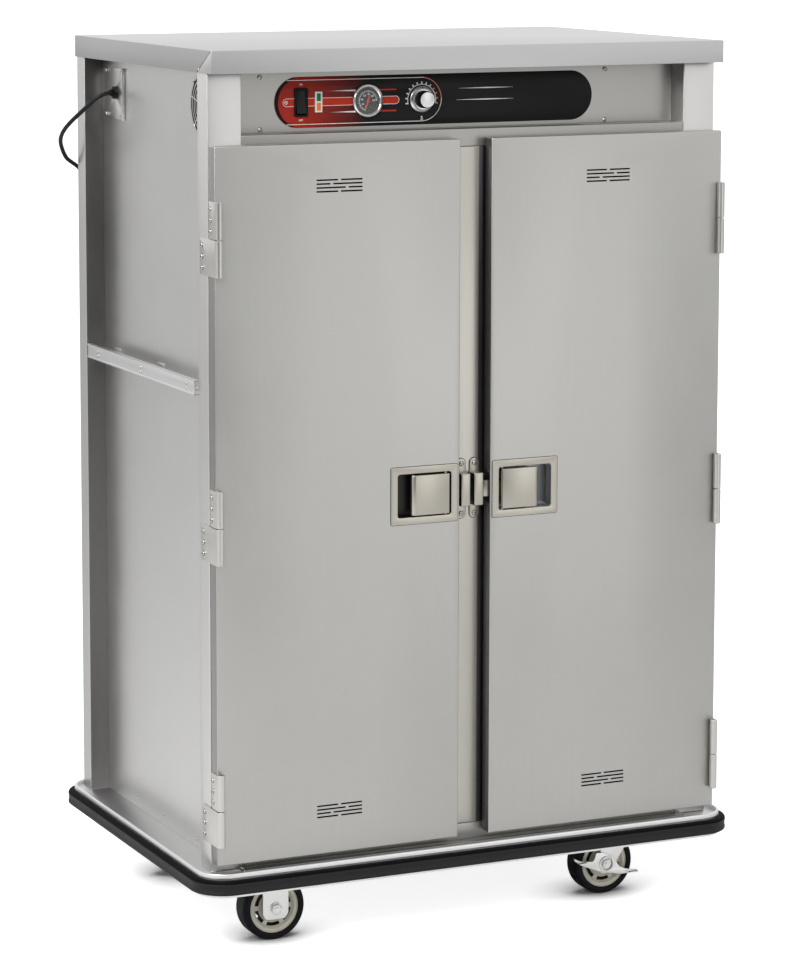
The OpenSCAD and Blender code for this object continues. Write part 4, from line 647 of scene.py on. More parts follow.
make("deck_sheet", (put(deck_sheet, (0, 0, DECK_TOP - 2.5)), DECK_METAL), "deck")
rim = [(BUMPER_T + 3.1 - 2.8 * cos(a), rim_top - 2.4 + 2.4 * sin(a)) for a in np.linspace(0.3, 2.84, 7)]
rim = [(BUMPER_T + 0.3, DECK_TOP), (BUMPER_T + 0.3, rim_top - 2.4), *rim, (BUMPER_T + 5.9, rim_top - 2.4),
       (BUMPER_T + 5.9, DECK_TOP)]
make("deck_rim", (moulding(rim), ALUMINIUM), sharp=50)
toe_half = BOX["header_rail"][1][0] + 10.0
door_face = BOX["front_posts"][0][1]
toe = rbox((-toe_half, door_face - 24, DECK_TOP), (toe_half, door_face - 0.3, TOE_TOP), 0.8)
toe_ends = [rbox((s * (toe_half - 1.2), door_face - 24.4, DECK_TOP),
                 (s * (toe_half + 0.8), door_face - 0.3, TOE_TOP + 0.3), 0.3) for s in (-1, 1)]
make("toe_plate", [(toe, TOE_METAL), (toe_ends, ALUMINIUM)])
finish_cad("base_frame", ALUMINIUM)
print("base made")

# %% [markdown]
# ## Body
# Posts, rails and mullion are folded sheet with small outside radii. The side panels stay
# the CAD sheets, set back between the posts. The cap is a shallow pan turned upside down.

# %%
FOLD, POST_W = 1.8, 68.0
SIDES = {"left": -1, "right": 1}


def both_sides(node, name, material):
    """A pair of folded posts at the outer ends of a CAD node's box."""
    lo, hi = BOX[node]
    post = rbox((hi[0] - POST_W, lo[1], lo[2]), hi, FOLD, 3)
    return make(name, ([post, mirrored(post)], material), node)


both_sides("front_posts", "front_post_sheets", STEEL_POST)
rear_posts = both_sides("rear_posts", "rear_post_sheets", STEEL_REAR)
# The rear posts' front-facing steps take painted shade.
repaint(rear_posts, STEEL_SHADE, lambda middle, normal: normal.y < -0.8)
for node, name, material in (("header_rail", "header_sheet", STEEL_X), ("sill_rail", "sill_sheet", STEEL_X),
                             ("center_mullion", "mullion_sheet", STEEL_MULLION)):
    make(name, (rbox(*BOX[node], FOLD, 3), material), node)
for node in ("side_panel_left", "side_panel_right", "back_panel"):
    finish_cad(node, STEEL_SIDE)
# The recessed control panel takes painted shade.
finish_cad("control_panel", STEEL_RECESS_SHADE)

cap_lo, cap_hi = BOX["top_cap"]
cap = make("cap_sheet", (rbox(cap_lo - (0, 0, 4), cap_hi, 1.3, 3), STEEL_CAP), "top_cap")
cut(cap, rbox(cap_lo + (1.5, 1.5, -10), cap_hi - (1.5, 1.5, 1.5), 0.0), STEEL_CAP)
cut(cap, rbox(cap_lo - (5, 5, 10), (cap_hi[0] + 5, cap_hi[1] + 5, cap_lo[2]), 0.0), STEEL_CAP)
# The cap's sides take painted shade.
repaint(cap, STEEL_CAP_SIDE_SHADE, sideways)
skirt_y, skirt_low, skirt_high = cap_lo[1] + 1.2, cap_lo[2] + 0.3, cap_hi[2] - 1.3
# Painted reflection: a bright triangle at the front corner of each cap side, with a dark painted line along its slant
# edge.
reflection_y = skirt_y + 68.0
reflection_patch = put(plate([[(skirt_y, skirt_low), (reflection_y, skirt_low), (skirt_y, skirt_high)]], 0.5, 0.1),
           (cap_hi[0] - 0.2, 0, 0), RIGHT)
reflection_edge = put(plate([[(reflection_y + 1.6, skirt_low), (reflection_y - 1.0, skirt_low), (skirt_y - 0.3, skirt_high),
                   (skirt_y + 1.4, skirt_high)]], 0.5, 0.0), (cap_hi[0] - 0.1, 0, 0), RIGHT)
make("cap_corner_painted_reflection", [([reflection_patch, mirrored(reflection_patch)], STEEL_POST), ([reflection_edge, mirrored(reflection_edge)], SHADE_BLACK)])
for name, side in SIDES.items():
    screws(f"cap_screw_{name}", [(cap_hi[0] + 0.3, skirt_y + 60, skirt_low + 6)], RIGHT, ZINC, 2.4, 1.4, side)
    rivets = [(BOX["side_panel_right"][1][0], y, DECK_TOP + z) for y, z in ((152, 26), (8, 22), (-168, 16))]
    screws(f"panel_rivets_{name}", rivets, RIGHT, STEEL_SIDE, 2.6, 1.2, side)
print("body made")

# %% [markdown]
# ## Doors
# Each door is a folded shell. Its vent slots and the pocket for the latch pan are cut
# through the skin, so that they have real depth.

# %%
VENT_W, VENT_SLOT, VENT_PITCH, VENT_LAND = 94.0, 3.0, 7.2, 6.0
BREAKS_UPPER, BREAKS_LOWER = (1 / 2, 2 / 3, 1 / 3, 1 / 2), (1 / 2, 1 / 3, 2 / 3, 1 / 2)
door_lo, door_hi = BOX["door_right"]
DOOR_MID = (door_lo[0] + door_hi[0]) / 2
PAN_LO, PAN_HI = BOX["latch_pan_right"]
LATCH_Z = (PAN_LO[2] + PAN_HI[2]) / 2
OPEN_X0, OPEN_X1, OPEN_H = PAN_LO[0] + 14.0, PAN_HI[0] - 14.0, 84.0
bolt_lo, bolt_hi = BOX["latch_bolt_right"]


def vents(middle_z, breaks):
    """Four rows of two slots, the gap between the two in a different place in each row."""
    slots = []
    for row, share in enumerate(breaks):
        z = middle_z + (1.5 - row) * VENT_PITCH
        split = DOOR_MID + (share - 0.5) * VENT_W
        for x0, x1 in ((DOOR_MID - VENT_W / 2, split - VENT_LAND / 2), (split + VENT_LAND / 2, DOOR_MID + VENT_W / 2)):
            slots.append(rbox((x0, door_lo[1] - 2, z - VENT_SLOT / 2), (x1, door_lo[1] + 5, z + VENT_SLOT / 2), 0.0))
    return joined(*slots)


pocket = rbox((OPEN_X0 - 2, door_lo[1] - 5, LATCH_Z - OPEN_H / 2 - 2),
              (OPEN_X1 + 2, PAN_HI[1] + 0.2, LATCH_Z + OPEN_H / 2 + 2), 0.0)
bolt_way = rbox((door_lo[0] - 5, bolt_lo[1] - 0.5, bolt_lo[2] - 0.5),
                (OPEN_X0, bolt_hi[1] + 0.5, bolt_hi[2] + 0.5), 0.0)
for name, side in SIDES.items():
    skin = make(f"door_skin_{name}", (rbox(door_lo, door_hi, 2.0, 3), STEEL), f"door_{name}",
                f"{name}_door", side)
    # The vent slots' walls and floors are painted black shade.
    for hole, material in ((pocket, STEEL), (bolt_way, STEEL), (vents(door_hi[2] - 79.0, BREAKS_UPPER), SHADE_BLACK),
                           (vents(door_lo[2] + 83.0, BREAKS_LOWER), SHADE_BLACK)):
        cut(skin, hole, material, side)
    # The doors' inner edges take painted shade, and their outer edges a lighter painted shade.
    repaint(skin, STEEL_SHADE, lambda middle, normal: abs(middle[0]) < door_lo[0] + 1 and sideways(middle, normal))
    repaint(skin, STEEL_EDGE_SHADE, lambda middle, normal: abs(middle[0]) > door_hi[0] - 1 and sideways(middle, normal))
    finish_cad(f"gasket_{name}", SEAL_RUBBER)
print("doors made")

# %% [markdown]
# ## Latches
# A pressed pan sits in each door. The paddle fills most of it and leaves a gap for the
# fingers; pulling it draws the bolt back from the strike on the mullion.

# %%
PADDLE_LO, PADDLE_HI = BOX["latch_paddle_right"]
STRIKE_X, STRIKE_W, STRIKE_H = 14.0, 20.0, 117.0
STRIKE_FRONT = BOX["center_mullion"][0][1] - 24.1


def pan_shapes():
    """Flange with rolled edges, its shadow gap, four walls with round corners, and the floor."""
    wide, tall = PAN_HI[0] - PAN_LO[0], PAN_HI[2] - PAN_LO[2]
    opening = rect(OPEN_X1 - OPEN_X0, OPEN_H, 5.0)
    outer = rect(OPEN_X1 - OPEN_X0 + 3, OPEN_H + 3, 6.0)
    sheets = [(plate([rect(wide, tall, 3.5), opening], 1.6, 0.6, 3), door_lo[1] - 0.1),
              (plate([rect(wide + 1.8, tall + 1.8, 4.2), outer], 0.4, 0.05), door_lo[1] + 0.15),
              (plate([outer, opening], PAN_HI[1] - door_lo[1] + 0.2, 0.1), PAN_HI[1]),
              (plate([outer], 1.5, 0.1), PAN_HI[1])]
    return [front(sheet, (PAN_LO[0] + PAN_HI[0]) / 2, y, LATCH_Z) for sheet, y in sheets]


def paddle_shape():
    """Plate with a rounded, bevelled grip edge, turned-in ends and a pivot pin."""
    x0, x1, y0 = PADDLE_LO[0], PADDLE_HI[0], PADDLE_LO[1]
    z0, z1 = LATCH_Z - OPEN_H / 2 + 3.5, LATCH_Z + OPEN_H / 2 - 3.5
    section = [(x0 + x, y0 + y) for x, y in ((0, 2.5), (0, 0.8), (0.3, 0.3), (0.9, 0))]
    section += [(x1 - x, y0 + y) for x, y in ((8, 0), (6, 0.3), (4, 1.3), (1, 3.6), (0.2, 4.8), (0, 6), (0, 10.5),
                                              (0.5, 11), (2, 11), (2.5, 10.5), (2.5, 5.6), (7.5, 2.5))]
    end = [(x0 + 1, y0 + 1), (x1 - 7, y0 + 1), (x1 - 1, y0 + 5.2), (x1 - 1, y0 + 11), (x0 + 11, PADDLE_HI[1]),
           (x0 + 1, PADDLE_HI[1])]
    return [put(plate([section], z1 - z0, 0.7, 3), (0, 0, z0)), put(plate([end], 2.0, 0.4), (0, 0, z0)),
            put(plate([end], 2.0, 0.4), (0, 0, z1 - 2)),
            put(rod(2.5, PADDLE_LO[2], PADDLE_HI[2]), (x0 + 3.5, y0 + 10.5, 0))]


(x0, y0, z0), (x1, y1, z1) = bolt_lo, bolt_hi
nose = [(x0, y1), (x0, y1 - 5), (x0, y0 + 2.5), (x0 + 5, y0), (x1, y0), (x1, y1)]
bolt = put(plate([nose], z1 - z0, 0.5), (0, 0, z0))
base = front(plate([rect(STRIKE_W, STRIKE_H, 9.9, 10)], 2.5, 0.6), STRIKE_X, door_face - 0.1, LATCH_Z)
shadow = front(plate([rect(STRIKE_W + 2, STRIKE_H + 2, 10.9, 10)], 0.5, 0.1), STRIKE_X, door_face + 0.1, LATCH_Z)
block = rbox((STRIKE_X - 10, STRIKE_FRONT, LATCH_Z - 32), (STRIKE_X + 10, door_face - 2, LATCH_Z + 32), 2.6, 3)
keep = rbox((STRIKE_X, STRIKE_FRONT + 3, LATCH_Z - 18.5), (STRIKE_X + 20, door_face - 2.6, LATCH_Z + 18.5), 0.0)
for name, side in SIDES.items():
    # Painted shade: the flange's shadow gap and the pan's walls and floor, darker in the left door than in the right.
    inner = NICKEL_HALF_SHADE if side > 0 else NICKEL_SHADE
    make(f"latch_pan_sheet_{name}", list(zip(pan_shapes(), (NICKEL, NICKEL_SHADE, inner, inner))), f"latch_pan_{name}",
         f"{name}_door", side)
    make(f"paddle_plate_{name}", (paddle_shape(), NICKEL), f"latch_paddle_{name}", f"{name}_paddle", side, 40)
    make(f"bolt_bar_{name}", (bolt, NICKEL), f"latch_bolt_{name}", f"{name}_bolt", side)
    # The plate's dark outline is a painted shadow.
    make(f"strike_plate_{name}", [(base, NICKEL), (shadow, SHADE_BLACK)], side=side)
    strike = make(f"strike_{name}", (block, NICKEL), side=side)
    # The keep's walls take painted black shade, and the block's sides painted shade.
    cut(strike, keep, SHADE_BLACK, side)
    repaint(strike, NICKEL_SHADE, sideways)
    screws(f"strike_screws_{name}", [(STRIKE_X, door_face - 2.5, LATCH_Z + s * 48.5) for s in (-1, 1)],
           FRONT, HINGE_STEEL, 4.4, 2.6, side)
print("latches made")

# %% [markdown]
# ## Hinges
# Lift-off butt hinges on the door edges. The upper half belongs to the door, the lower
# half with its fixed pin to the post.

# %%
HINGE_ZS = [279.0 + 539.0 * i for i in range(3)]
HINGE_HALF, BARREL_R, LEAF_R, KNUCKLE_GAP = 70.0, 7.5, 3.0, 0.8
leaf_x = BOX["hinge_leaves_right"][0][0]
PIN_X, PIN_Y = leaf_x + BARREL_R, BOX["hinge_leaves_right"][0][1] + BARREL_R
DOOR_LEAF_BACK, FRAME_LEAF_BACK = door_lo[1] + 24.0, door_face + 34.0


def barrel(z0, z1):
    """Knuckle with slightly rounded ends."""
    r = BARREL_R
    return put(lathe([(3.1, z0), (r - 0.8, z0), (r, z0 + 0.8), (r, z1 - 0.8), (r - 0.8, z1), (3.1, z1)], 32),
               (PIN_X, PIN_Y, 0))


def leaf(x0, x1, back, z0, z1):
    """Leaf plate from the knuckle to its back edge, with rounded free corners."""
    deep, tall = back - PIN_Y, z1 - z0
    outline = [(0, 0), *on_circle(LEAF_R, [radians(a) for a in range(-90, 1, 15)], (deep - LEAF_R, LEAF_R)),
               *on_circle(LEAF_R, [radians(a) for a in range(0, 91, 15)], (deep - LEAF_R, tall - LEAF_R)), (0, tall)]
    return put(plate([outline], x1 - x0, 0.5), (x0, PIN_Y, z0), RIGHT)


for name, side in SIDES.items():
    door_half, post_half, door_screws, post_screws = [], [], [], []
    for z in HINGE_ZS:
        low, high, top, foot = z - KNUCKLE_GAP, z + KNUCKLE_GAP, z + HINGE_HALF, z - HINGE_HALF
        door_half += [barrel(high, top), leaf(536.2, leaf_x + 14.7, DOOR_LEAF_BACK, high, top),
                      rbox((PIN_X, door_lo[1] - 2.2, high), (537.0, door_lo[1] - 0.2, top), 0.5)]
        post_half += [barrel(foot, low), leaf(536.7, leaf_x + 15.0, FRAME_LEAF_BACK, foot, low),
                      put(rod(3, z - 10, z + 60), (PIN_X, PIN_Y, 0))]
        door_screws += [(leaf_x + 14.7, DOOR_LEAF_BACK - 9, z + 35 + 21 * i) for i in (-1, 0, 1)]
        post_screws += [(leaf_x + 15.0, FRAME_LEAF_BACK - 11, z - 35 + 21 * i) for i in (-1, 0, 1)]
    make(f"hinge_door_halves_{name}", (door_half, HINGE_STEEL), f"hinge_leaves_{name}", f"{name}_door", side)
    made = make(f"hinge_post_halves_{name}", (post_half, HINGE_STEEL), side=side)
    if side > 0:
        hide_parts("hinges_and_strikes")
    screws(f"hinge_screws_door_{name}", door_screws, RIGHT, HINGE_STEEL, 4.2, 2.4, side, f"{name}_door")
    screws(f"hinge_screws_post_{name}", post_screws, RIGHT, HINGE_STEEL, 4.2, 2.4, side)
print("hinges made")

# %% [markdown]
# ## Side fittings
# Bright push bars on short brackets, the plate over the cord entry with its strain
# relief, and the guard of the cooling fan.

# %%
(bar_in, y0, z0), (_, y1, z1) = BOX["push_bar_right"]
bar_out, bar_mid = cap_hi[0], (z0 + z1) / 2
brackets = [(y0 + y1) / 2 - 8.5 + 242.0 * i for i in (-1, 0, 1)]
channel = [rbox((bar_out - 2.5, y0, z0), (bar_out, y1, z1), 0.7),
           rbox((bar_out - 9, y0, z0), (bar_out, y1, z0 + 2.5), 0.7),
           rbox((bar_out - 9, y0, z1 - 2.5), (bar_out, y1, z1), 0.7),
           rbox((bar_out - 0.5, y0, z0), (bar_out + 1.2, y1, z0 + 3.4), 0.5),
           rbox((bar_out - 0.5, y0, z1 - 3.4), (bar_out + 1.2, y1, z1), 0.5)]
for y in brackets:
    channel += [rbox((bar_in, y - 17, bar_mid - 9), (bar_in + 2.9, y + 17, bar_mid + 9), 0.6),
                rbox((bar_in + 2, y - 15, bar_mid - 9), (bar_out - 2, y + 15, bar_mid - 6), 0.6),
                rbox((bar_out - 5.5, y - 15, bar_mid - 9), (bar_out - 2.4, y + 15, bar_mid + 9), 0.6)]
for name, side in SIDES.items():
    make(f"push_bar_channel_{name}", (channel, ALUMINIUM), f"push_bar_{name}", side=side)
    screws(f"push_bar_screws_{name}", [(bar_out, y, bar_mid + dz) for y in brackets for dz in (-4.5, 4.5)],
           RIGHT, ZINC, 2.9, 1.7, side)

(_, y0, z0), (panel_x, y1, z1) = BOX["cord_plate"]
y, z = (y0 + y1) / 2, (z0 + z1) / 2
entry = circle(9.2, 24, (-(GLAND_Y - y), GLAND_Z - z))
cover = put(plate([rect(y1 - y0, z1 - z0, 2.0), entry], 1.5, 0.4), (panel_x - 0.1, y, z), LEFT)
lip = rbox((panel_x - 5.9, y0, z0), (panel_x, y0 + 1.6, z1), 0.6)
make("cord_cover", ([cover, lip], STEEL_SIDE), "cord_plate")
screws("cord_cover_screws", [(panel_x - 1.6, y, z) for y in (y0 + 12, y1 - 9) for z in (z0 + 9, z1 - 6)], LEFT, ZINC)
boot = [(4.35, 14.2), (5.2, 14.2), (5.8, 13.6)]
for i in range(3):
    z, r = 12.6 - 2.4 * i, 6.3 + 0.8 * i
    boot += [(r, z), (r, z - 1.1), (r - 0.8, z - 1.4), (r - 0.8, z - 2.0)]
boot += [(9.2, 5.9), (12.5, 5.5), (12.5, 0.6), (12.0, 0.1), (8.7, 0.1), (8.7, -9.0), (4.35, -9.0)]
sleeve = joined(lathe(boot, 32), lathe([(8.0, -13.0), (13.0, -13.0), (13.0, -5.0), (8.0, -5.0)], 6))
make("cord_boot", (put(sleeve, (panel_x - 1.6, GLAND_Y, GLAND_Z), LEFT), BLACK_PLASTIC), "cord_gland",
     sharp=40)
finish_cad("fan_guard", CHROME)
finish_cad("cooling_fan", FAN_PLASTIC)
finish_cad("fan_rotor", FAN_PLASTIC, 40)
print("side fittings made")

# %% [markdown]
# ## Casters
# A moulded pale rim with six windows carries a dark tyre. The left pair have fixed forks
# with straight legs; the right pair have raked forks that turn under their races, with a
# two-winged foot lever on the axle bolt.

# %%
WHEEL_R, WHEEL_W, RIM_R, AXLE_R = 63.5, 48.0, 49.5, 6.0
LEG_IN, LEG_OUT, TRAIL = 25.0, 29.0, 40.0
FORK_TOP, CASTER_TOP = 135.5, 147.5
half = WHEEL_W / 2
shoulder = [(RIM_R + 0.1, half - 2.6), (RIM_R + 0.8, half - 2)]
shoulder += [(WHEEL_R - 7 + 7 * sin(a), half - 9 + 7 * cos(a)) for a in np.linspace(0, pi / 2 - 0.12, 9)]
tread = [(WHEEL_R - 0.05, half - 11), (WHEEL_R, 0), (WHEEL_R - 0.05, -half + 11)]
tyre = lathe(shoulder + tread + [(a, -b) for a, b in reversed(shoulder)], 96)
face = [(AXLE_R, half), (12.5, half), (14, half - 1), (15.5, 14), (27.5, 14), (28.5, 15), (29.5, 15), (30, 14),
        (38, 14), (39.5, 15.5), (42, half - 4.6), (43, half - 4), (46, half - 4), (46.6, half - 5), (47.6, half - 5),
        (48.2, half - 3.4), (RIM_R - 0.4, half - 3.4), (RIM_R, half - 4)]
rim = lathe(face + [(a, -b) for a, b in reversed(face)], 72)
windows = joined(*[put(plate([arc_strip(30.6, 37.6, -22, 22, 10)], 40, 0), (0, 0, -20), turn=30 + 60 * i)
                   for i in range(6)])

leg_top = FORK_TOP - WHEEL_R
leg_side = [(26.5, leg_top), *on_circle(28, np.linspace(-0.33, -0.78, 6)), (17.5, -21)]
STRAIGHT_LEG = leg_side + [(-x, z) for x, z in reversed(leg_side)]
RAKED_LEG = [(TRAIL + 30, leg_top), *on_circle(21, np.linspace(-0.1, -pi + 0.1, 13)), (-21, 4), (TRAIL - 34, leg_top)]


def fork(outline, x, y):
    """Both legs of a fork round the wheel at x and y, with the axle bolt's head, rod, washer and nut."""
    leg = plate([outline, circle(AXLE_R, 24)], LEG_OUT - LEG_IN, 0.8, 3)
    head = joined(lathe([(0, 5.7), (11.0 * 0.84, 5.7), (11, 4.4), (11, 1.2), (0, 1.2)], 6),
                  lathe([(0, 1.4), (12, 1.4), (12.6, 0.9), (12.6, -0.2), (0, -0.2)], 32),
                  lathe([(0, 6.9), (4.2, 6.9), (5, 6.2), (5, 5.2), (0, 5.2)], 20))
    nut = lathe([(0, 8), (9.4, 8), (11, 6.8), (11, 1.2), (9.4, 0), (0, 0)], 6)
    return [front(leg, x, y - LEG_IN, WHEEL_R), front(leg, x, y + LEG_OUT, WHEEL_R),
            front(head, x, y - LEG_OUT, WHEEL_R, 12),
            front(rod(AXLE_R - 0.1, -LEG_OUT - 1, LEG_OUT + 1, 24), x, y, WHEEL_R),
            front(nut, x, y + LEG_OUT + 8, WHEEL_R, 9)]


def top_plate(x, y):
    """Mounting plate with its four bolts."""
    bolts = [put(lathe([(0, 0), (5.6, 0), (6.5, 1), (6.5, 6.2), (0, 6.2)], 6), (x + dx, y + dy, CASTER_TOP - 10.3))
             for dx in (-42, 42) for dy in (-36, 36)]
    return [put(plate([rect(114, 98, 8)], 4.0, 0.5), (x, y, CASTER_TOP - 4.3)), *bolts]


fixed, swivels = [], []
for node in ("wheel_front_left", "wheel_rear_left", "wheel_front_right", "wheel_rear_right"):
    x, y, z = sum(BOX[node]) / 2
    make(f"{node}_tyre", (front(tyre, x, y, z), TYRE_RUBBER), node, node, sharp=50)
    wheel_rim = make(f"{node}_rim", (front(rim, x, y, z), CREAM_RIM), body=node)
    cut(wheel_rim, front(windows, x, y, z), RIM_SHADE)
    if node.endswith("left"):
        fixed += fork(STRAIGHT_LEG, x, y) + top_plate(x, y)
        fixed += [rbox((x - 26.5, y - LEG_OUT, FORK_TOP - 4), (x + 26.5, y + LEG_OUT, FORK_TOP), 1.0),
                  rbox((x - 20.5, y - 26, FORK_TOP - 1), (x + 20.5, y + 26, CASTER_TOP - 4), 1.0)]
        continue
    axis, name = x + TRAIL, node.replace("wheel", "fork")
    crown = lathe([(AXLE_R + 0.1, FORK_TOP - 4), (33, FORK_TOP - 4), (33, FORK_TOP + 2.7), (32, FORK_TOP + 3.7),
                   (AXLE_R + 0.1, FORK_TOP + 3.7)], 64)
    bridge = rbox((axis - 34, y - LEG_OUT, FORK_TOP - 4), (axis + 30, y + LEG_OUT, FORK_TOP), 1.0)
    pressing = [*fork(RAKED_LEG, x, y), put(crown, (axis, y, 0)), bridge]
    make(f"{name}_pressing", (pressing, ZINC), name, name)
    race = lathe([(r, FORK_TOP + z) for r, z in ((0, 4), (29, 4), (30, 5), (30, 8), (0, 8))], 64)
    pin = lathe([(r, FORK_TOP + z) for r, z in ((0, -7.2), (8.2, -7.2), (9, -6.4), (9, -4.4), (5.9, -4.4), (5.9, 5),
                                                (0, 5))], 32)
    swivels += [*top_plate(axis, y), put(race, (axis, y, 0)), put(pin, (axis, y, 0))]
make("fixed_casters", (fixed, ZINC), "rigid_casters")
make("swivel_races", (swivels, ZINC), "swivel_plates")

LEVER = [(-74, 19), (-66, 14.8), (-58, 11.6), (-46, 9.3), (-32, 8), (-27.5, 13), (-25, 23), (-21, 25), (-7, 24),
         (3.4, 19.8), (13.7, 12.5), (22.4, 2), (28.5, -8), (43.2, -14.4), (58.7, -17.8), (69, -19), (71.7, -21.7),
         (69, -23.6), (58, -24.4), (43.2, -24.6), (31.1, -24.6), (17.3, -21.7), (0, -18.3), (-17.1, -14.5),
         (-29.1, -9.1), (-58.3, 3.2), (-72, 13.2)]
sheet = plate([LEVER, circle(12.9, 32)], 3.4, 0.9, 3)
collar = lathe([(12.8, 0.2), (16.5, 0.2), (16.5, 4.4), (15.8, 5), (13.6, 5), (12.8, 4.4)], 40)
for row in ("front", "rear"):
    x, y, z = sum(BOX[f"wheel_{row}_right"]) / 2
    y -= LEG_OUT + 0.3
    pads = [rbox((x - 66, y - 14, z + 8), (x - 48, y - 2, z + 10), 0.8),
            rbox((x + 47, y - 14, z - 21.5), (x + 67, y - 2, z - 19.5), 0.8)]
    make(f"brake_lever_{row}", ([front(sheet, x, y, z), front(collar, x, y, z), *pads], ZINC), f"brake_{row}_right",
         f"brake_{row}_right")
print("casters made")

# %% [markdown]
# ## Control label
# A printed film with round ends lies on the recessed panel. Its print is built as thin
# layers: a pale outline round the controls, a red tongue with a pale edge, tapering bars,
# and the scale round the knob.

# %%
CONTROL_Z, FILM_Y = 1600.0, BOX["control_overlay"][0][1]
ROCKER_X, LIGHTS_X, GAUGE_X, KNOB_X, MARK_X = -328.0, -292.0, -191.0, -77.0, -358.2
film_x = sum(BOX["control_overlay"])[0] / 2
holes = [shifted(rect(26, 52, 1), ROCKER_X - film_x), shifted(rect(13, 37, 1), LIGHTS_X - film_x),
         circle(28.0, 40, (GAUGE_X - film_x, 0)), circle(6.5, 24, (KNOB_X - film_x, 0))]
sheet = plate([rect(672, 96, 47.5, 16), *holes], 0.8, 0.05)
make("label_film", (front(sheet, film_x, FILM_Y + 0.8, CONTROL_Z), FILM), "control_overlay")


def printed(outlines, lift=0.06):
    """Print laid on the film: outlines in the panel's X and height over the controls' middle."""
    return joined(*[front(plate([o] if isinstance(o[0], tuple) else o, 0.1, 0.0), 0, FILM_Y + 0.1 - lift, CONTROL_Z)
                    for o in outlines])


def bar(x0, x1, z, h):
    """Bar with round ends between two x at a height."""
    return shifted(rect(x1 - x0, h, h / 2 - 0.01), (x0 + x1) / 2, z)


def taper(x0, x1, z, h):
    """Bar that starts as a point at x0 and is h high at x1."""
    return [(x0, z - 0.1), (x1, z - h / 2), (x1, z + h / 2), (x0, z + 0.1)]


def words(text, size, x, y, z):
    """Text as a thin shape that faces the front, centred."""
    curve = bpy.data.curves.new("words", "FONT")
    curve.body, curve.size, curve.extrude, curve.offset = text, size, 0.05, 0.03 * size
    curve.align_x, curve.align_y, curve.resolution_u = "CENTER", "CENTER", 3
    return front(from_bmesh(from_curve(curve)), x, y, CONTROL_Z + z)


R, LINE, PILL = 42.0, 1.1, 7.8
outline = [[(-358, R - LINE), (KNOB_X, R - LINE), (KNOB_X, R), (-356, R)],
           [(-358, LINE - R), (-356, -R), (KNOB_X, -R), (KNOB_X, LINE - R)],
           shifted(arc_strip(R - LINE, R, 80, 90, 6), KNOB_X), shifted(arc_strip(R - LINE, R, -90, 2, 24), KNOB_X)]
tongue_edge = [bar(-365, -124, 0, 2 * PILL), bar(-365 + 0.9, -124 - 0.9, 0, 2 * PILL - 1.8)]
ring_mark = [circle(3.3, 24, (MARK_X, 0)), circle(2.1, 20, (MARK_X, 0))]
ticks = [[(KNOB_X + r * cos(a) - w * sin(a), -1 + r * sin(a) + w * cos(a))
          for r, w in ((29.5, -1.5), (34.6, -1.2), (34.6, 1.2), (29.5, 1.5))]
         for a in np.radians(np.linspace(192, -12, 13))]
scale_ring = shifted(arc_strip(28.6, 30.2, -14, 196, 40), KNOB_X, -1)
lines = [taper(1, 62, 19, 2.2), taper(118, 62, 19, 2.2), taper(-4, 62, -3, 2.2), taper(120, 62, -3, 2.2)]
dots = [circle(0.9, 16, (MARK_X, 0)), scale_ring, circle(1.7, 16, (KNOB_X, -33.8))]
white = printed([*outline, tongue_edge, ring_mark, *dots, *ticks[:9], *lines], 0.09)
white = [white, *[words(text, size, x, FILM_Y - 0.02, z) for text, size, x, z in (
    ("ON", 4.4, ROCKER_X, 33.4), ("OFF", 4.4, ROCKER_X, -33.6), ("OFF", 3.4, KNOB_X, -38.4))]]
make("label_white_print", (white, PRINT_WHITE))
red = printed([bar(-364.5, -124.5, 0, 2 * PILL - 1), bar(-200, -130, 20, 2.9), bar(-200, -130, -20, 2.9)])
warm = printed([shifted(arc_strip(R - LINE - 0.3, R + 0.2, 2, 84, 20), KNOB_X)] + ticks[9:], 0.1)
make("label_red_print", [(red, PRINT_RED), (warm, PRINT_WARM)])
fading = printed([taper(-275, -212, 20, 3.2), taper(-270, -212, -20, 3.2)], 0.09)
make("label_fading_bars", (fading, FADING_WHITE))
edge = on_circle(47.6, np.radians(np.linspace(104, 256, 30)), (-334, 0))
edge += [(-329.5 + 45.0 * cos(a), 46.4 * sin(a)) for a in np.radians(np.linspace(256, 104, 30))]
make("label_dark_rim", (printed([edge], 0.07), DIAL_BLACK))
print("label printed")

# %% [markdown]
# ## Controls
# Rocker switch, indicator block, dial thermometer and thermostat knob, from left to right.

# %%
FACE_Y = FILM_Y - 0.1
window = rect(20.6, 46.6, 1.2)
frame_parts = [front(plate([rect(28, 54, 2.5), window], 2.2, 0.7, 3), ROCKER_X, FACE_Y, CONTROL_Z),
               front(plate([rect(25, 51, 1), window], 14.2, 0.1), ROCKER_X, FACE_Y + 14, CONTROL_Z),
               front(plate([rect(25, 51, 1)], 2, 0.1), ROCKER_X, FACE_Y + 16, CONTROL_Z)]
make("switch_frame", (frame_parts, BLACK_PLASTIC), "rocker_frame")
section = [(5, -13.1), (-3.4, -21.9), (-6.0, -22.1), (-6.5, -21.4), (-5.0, -11.5), (-4.1, -4), (-3.9, 0), (-4.1, 4),
           (-5.0, 11.5), (-6.5, 21.4), (-6.0, 22.1), (-3.4, 21.9), (5, 13.1)]
verts, faces = put(plate([section], 19.8, 0.35, 2), (-9.9, 0, 0), RIGHT)
tilt = np.array(Matrix.Rotation(radians(-8), 3, "X"))
rocker = joined((verts @ tilt.T, faces), put(rod(1.6, -11.4, 11.4, 16), facing=RIGHT))
make("switch_rocker", (put(rocker, (ROCKER_X, FACE_Y + 3, CONTROL_Z)), GLOSS_BLACK), "power_rocker",
     "rocker")

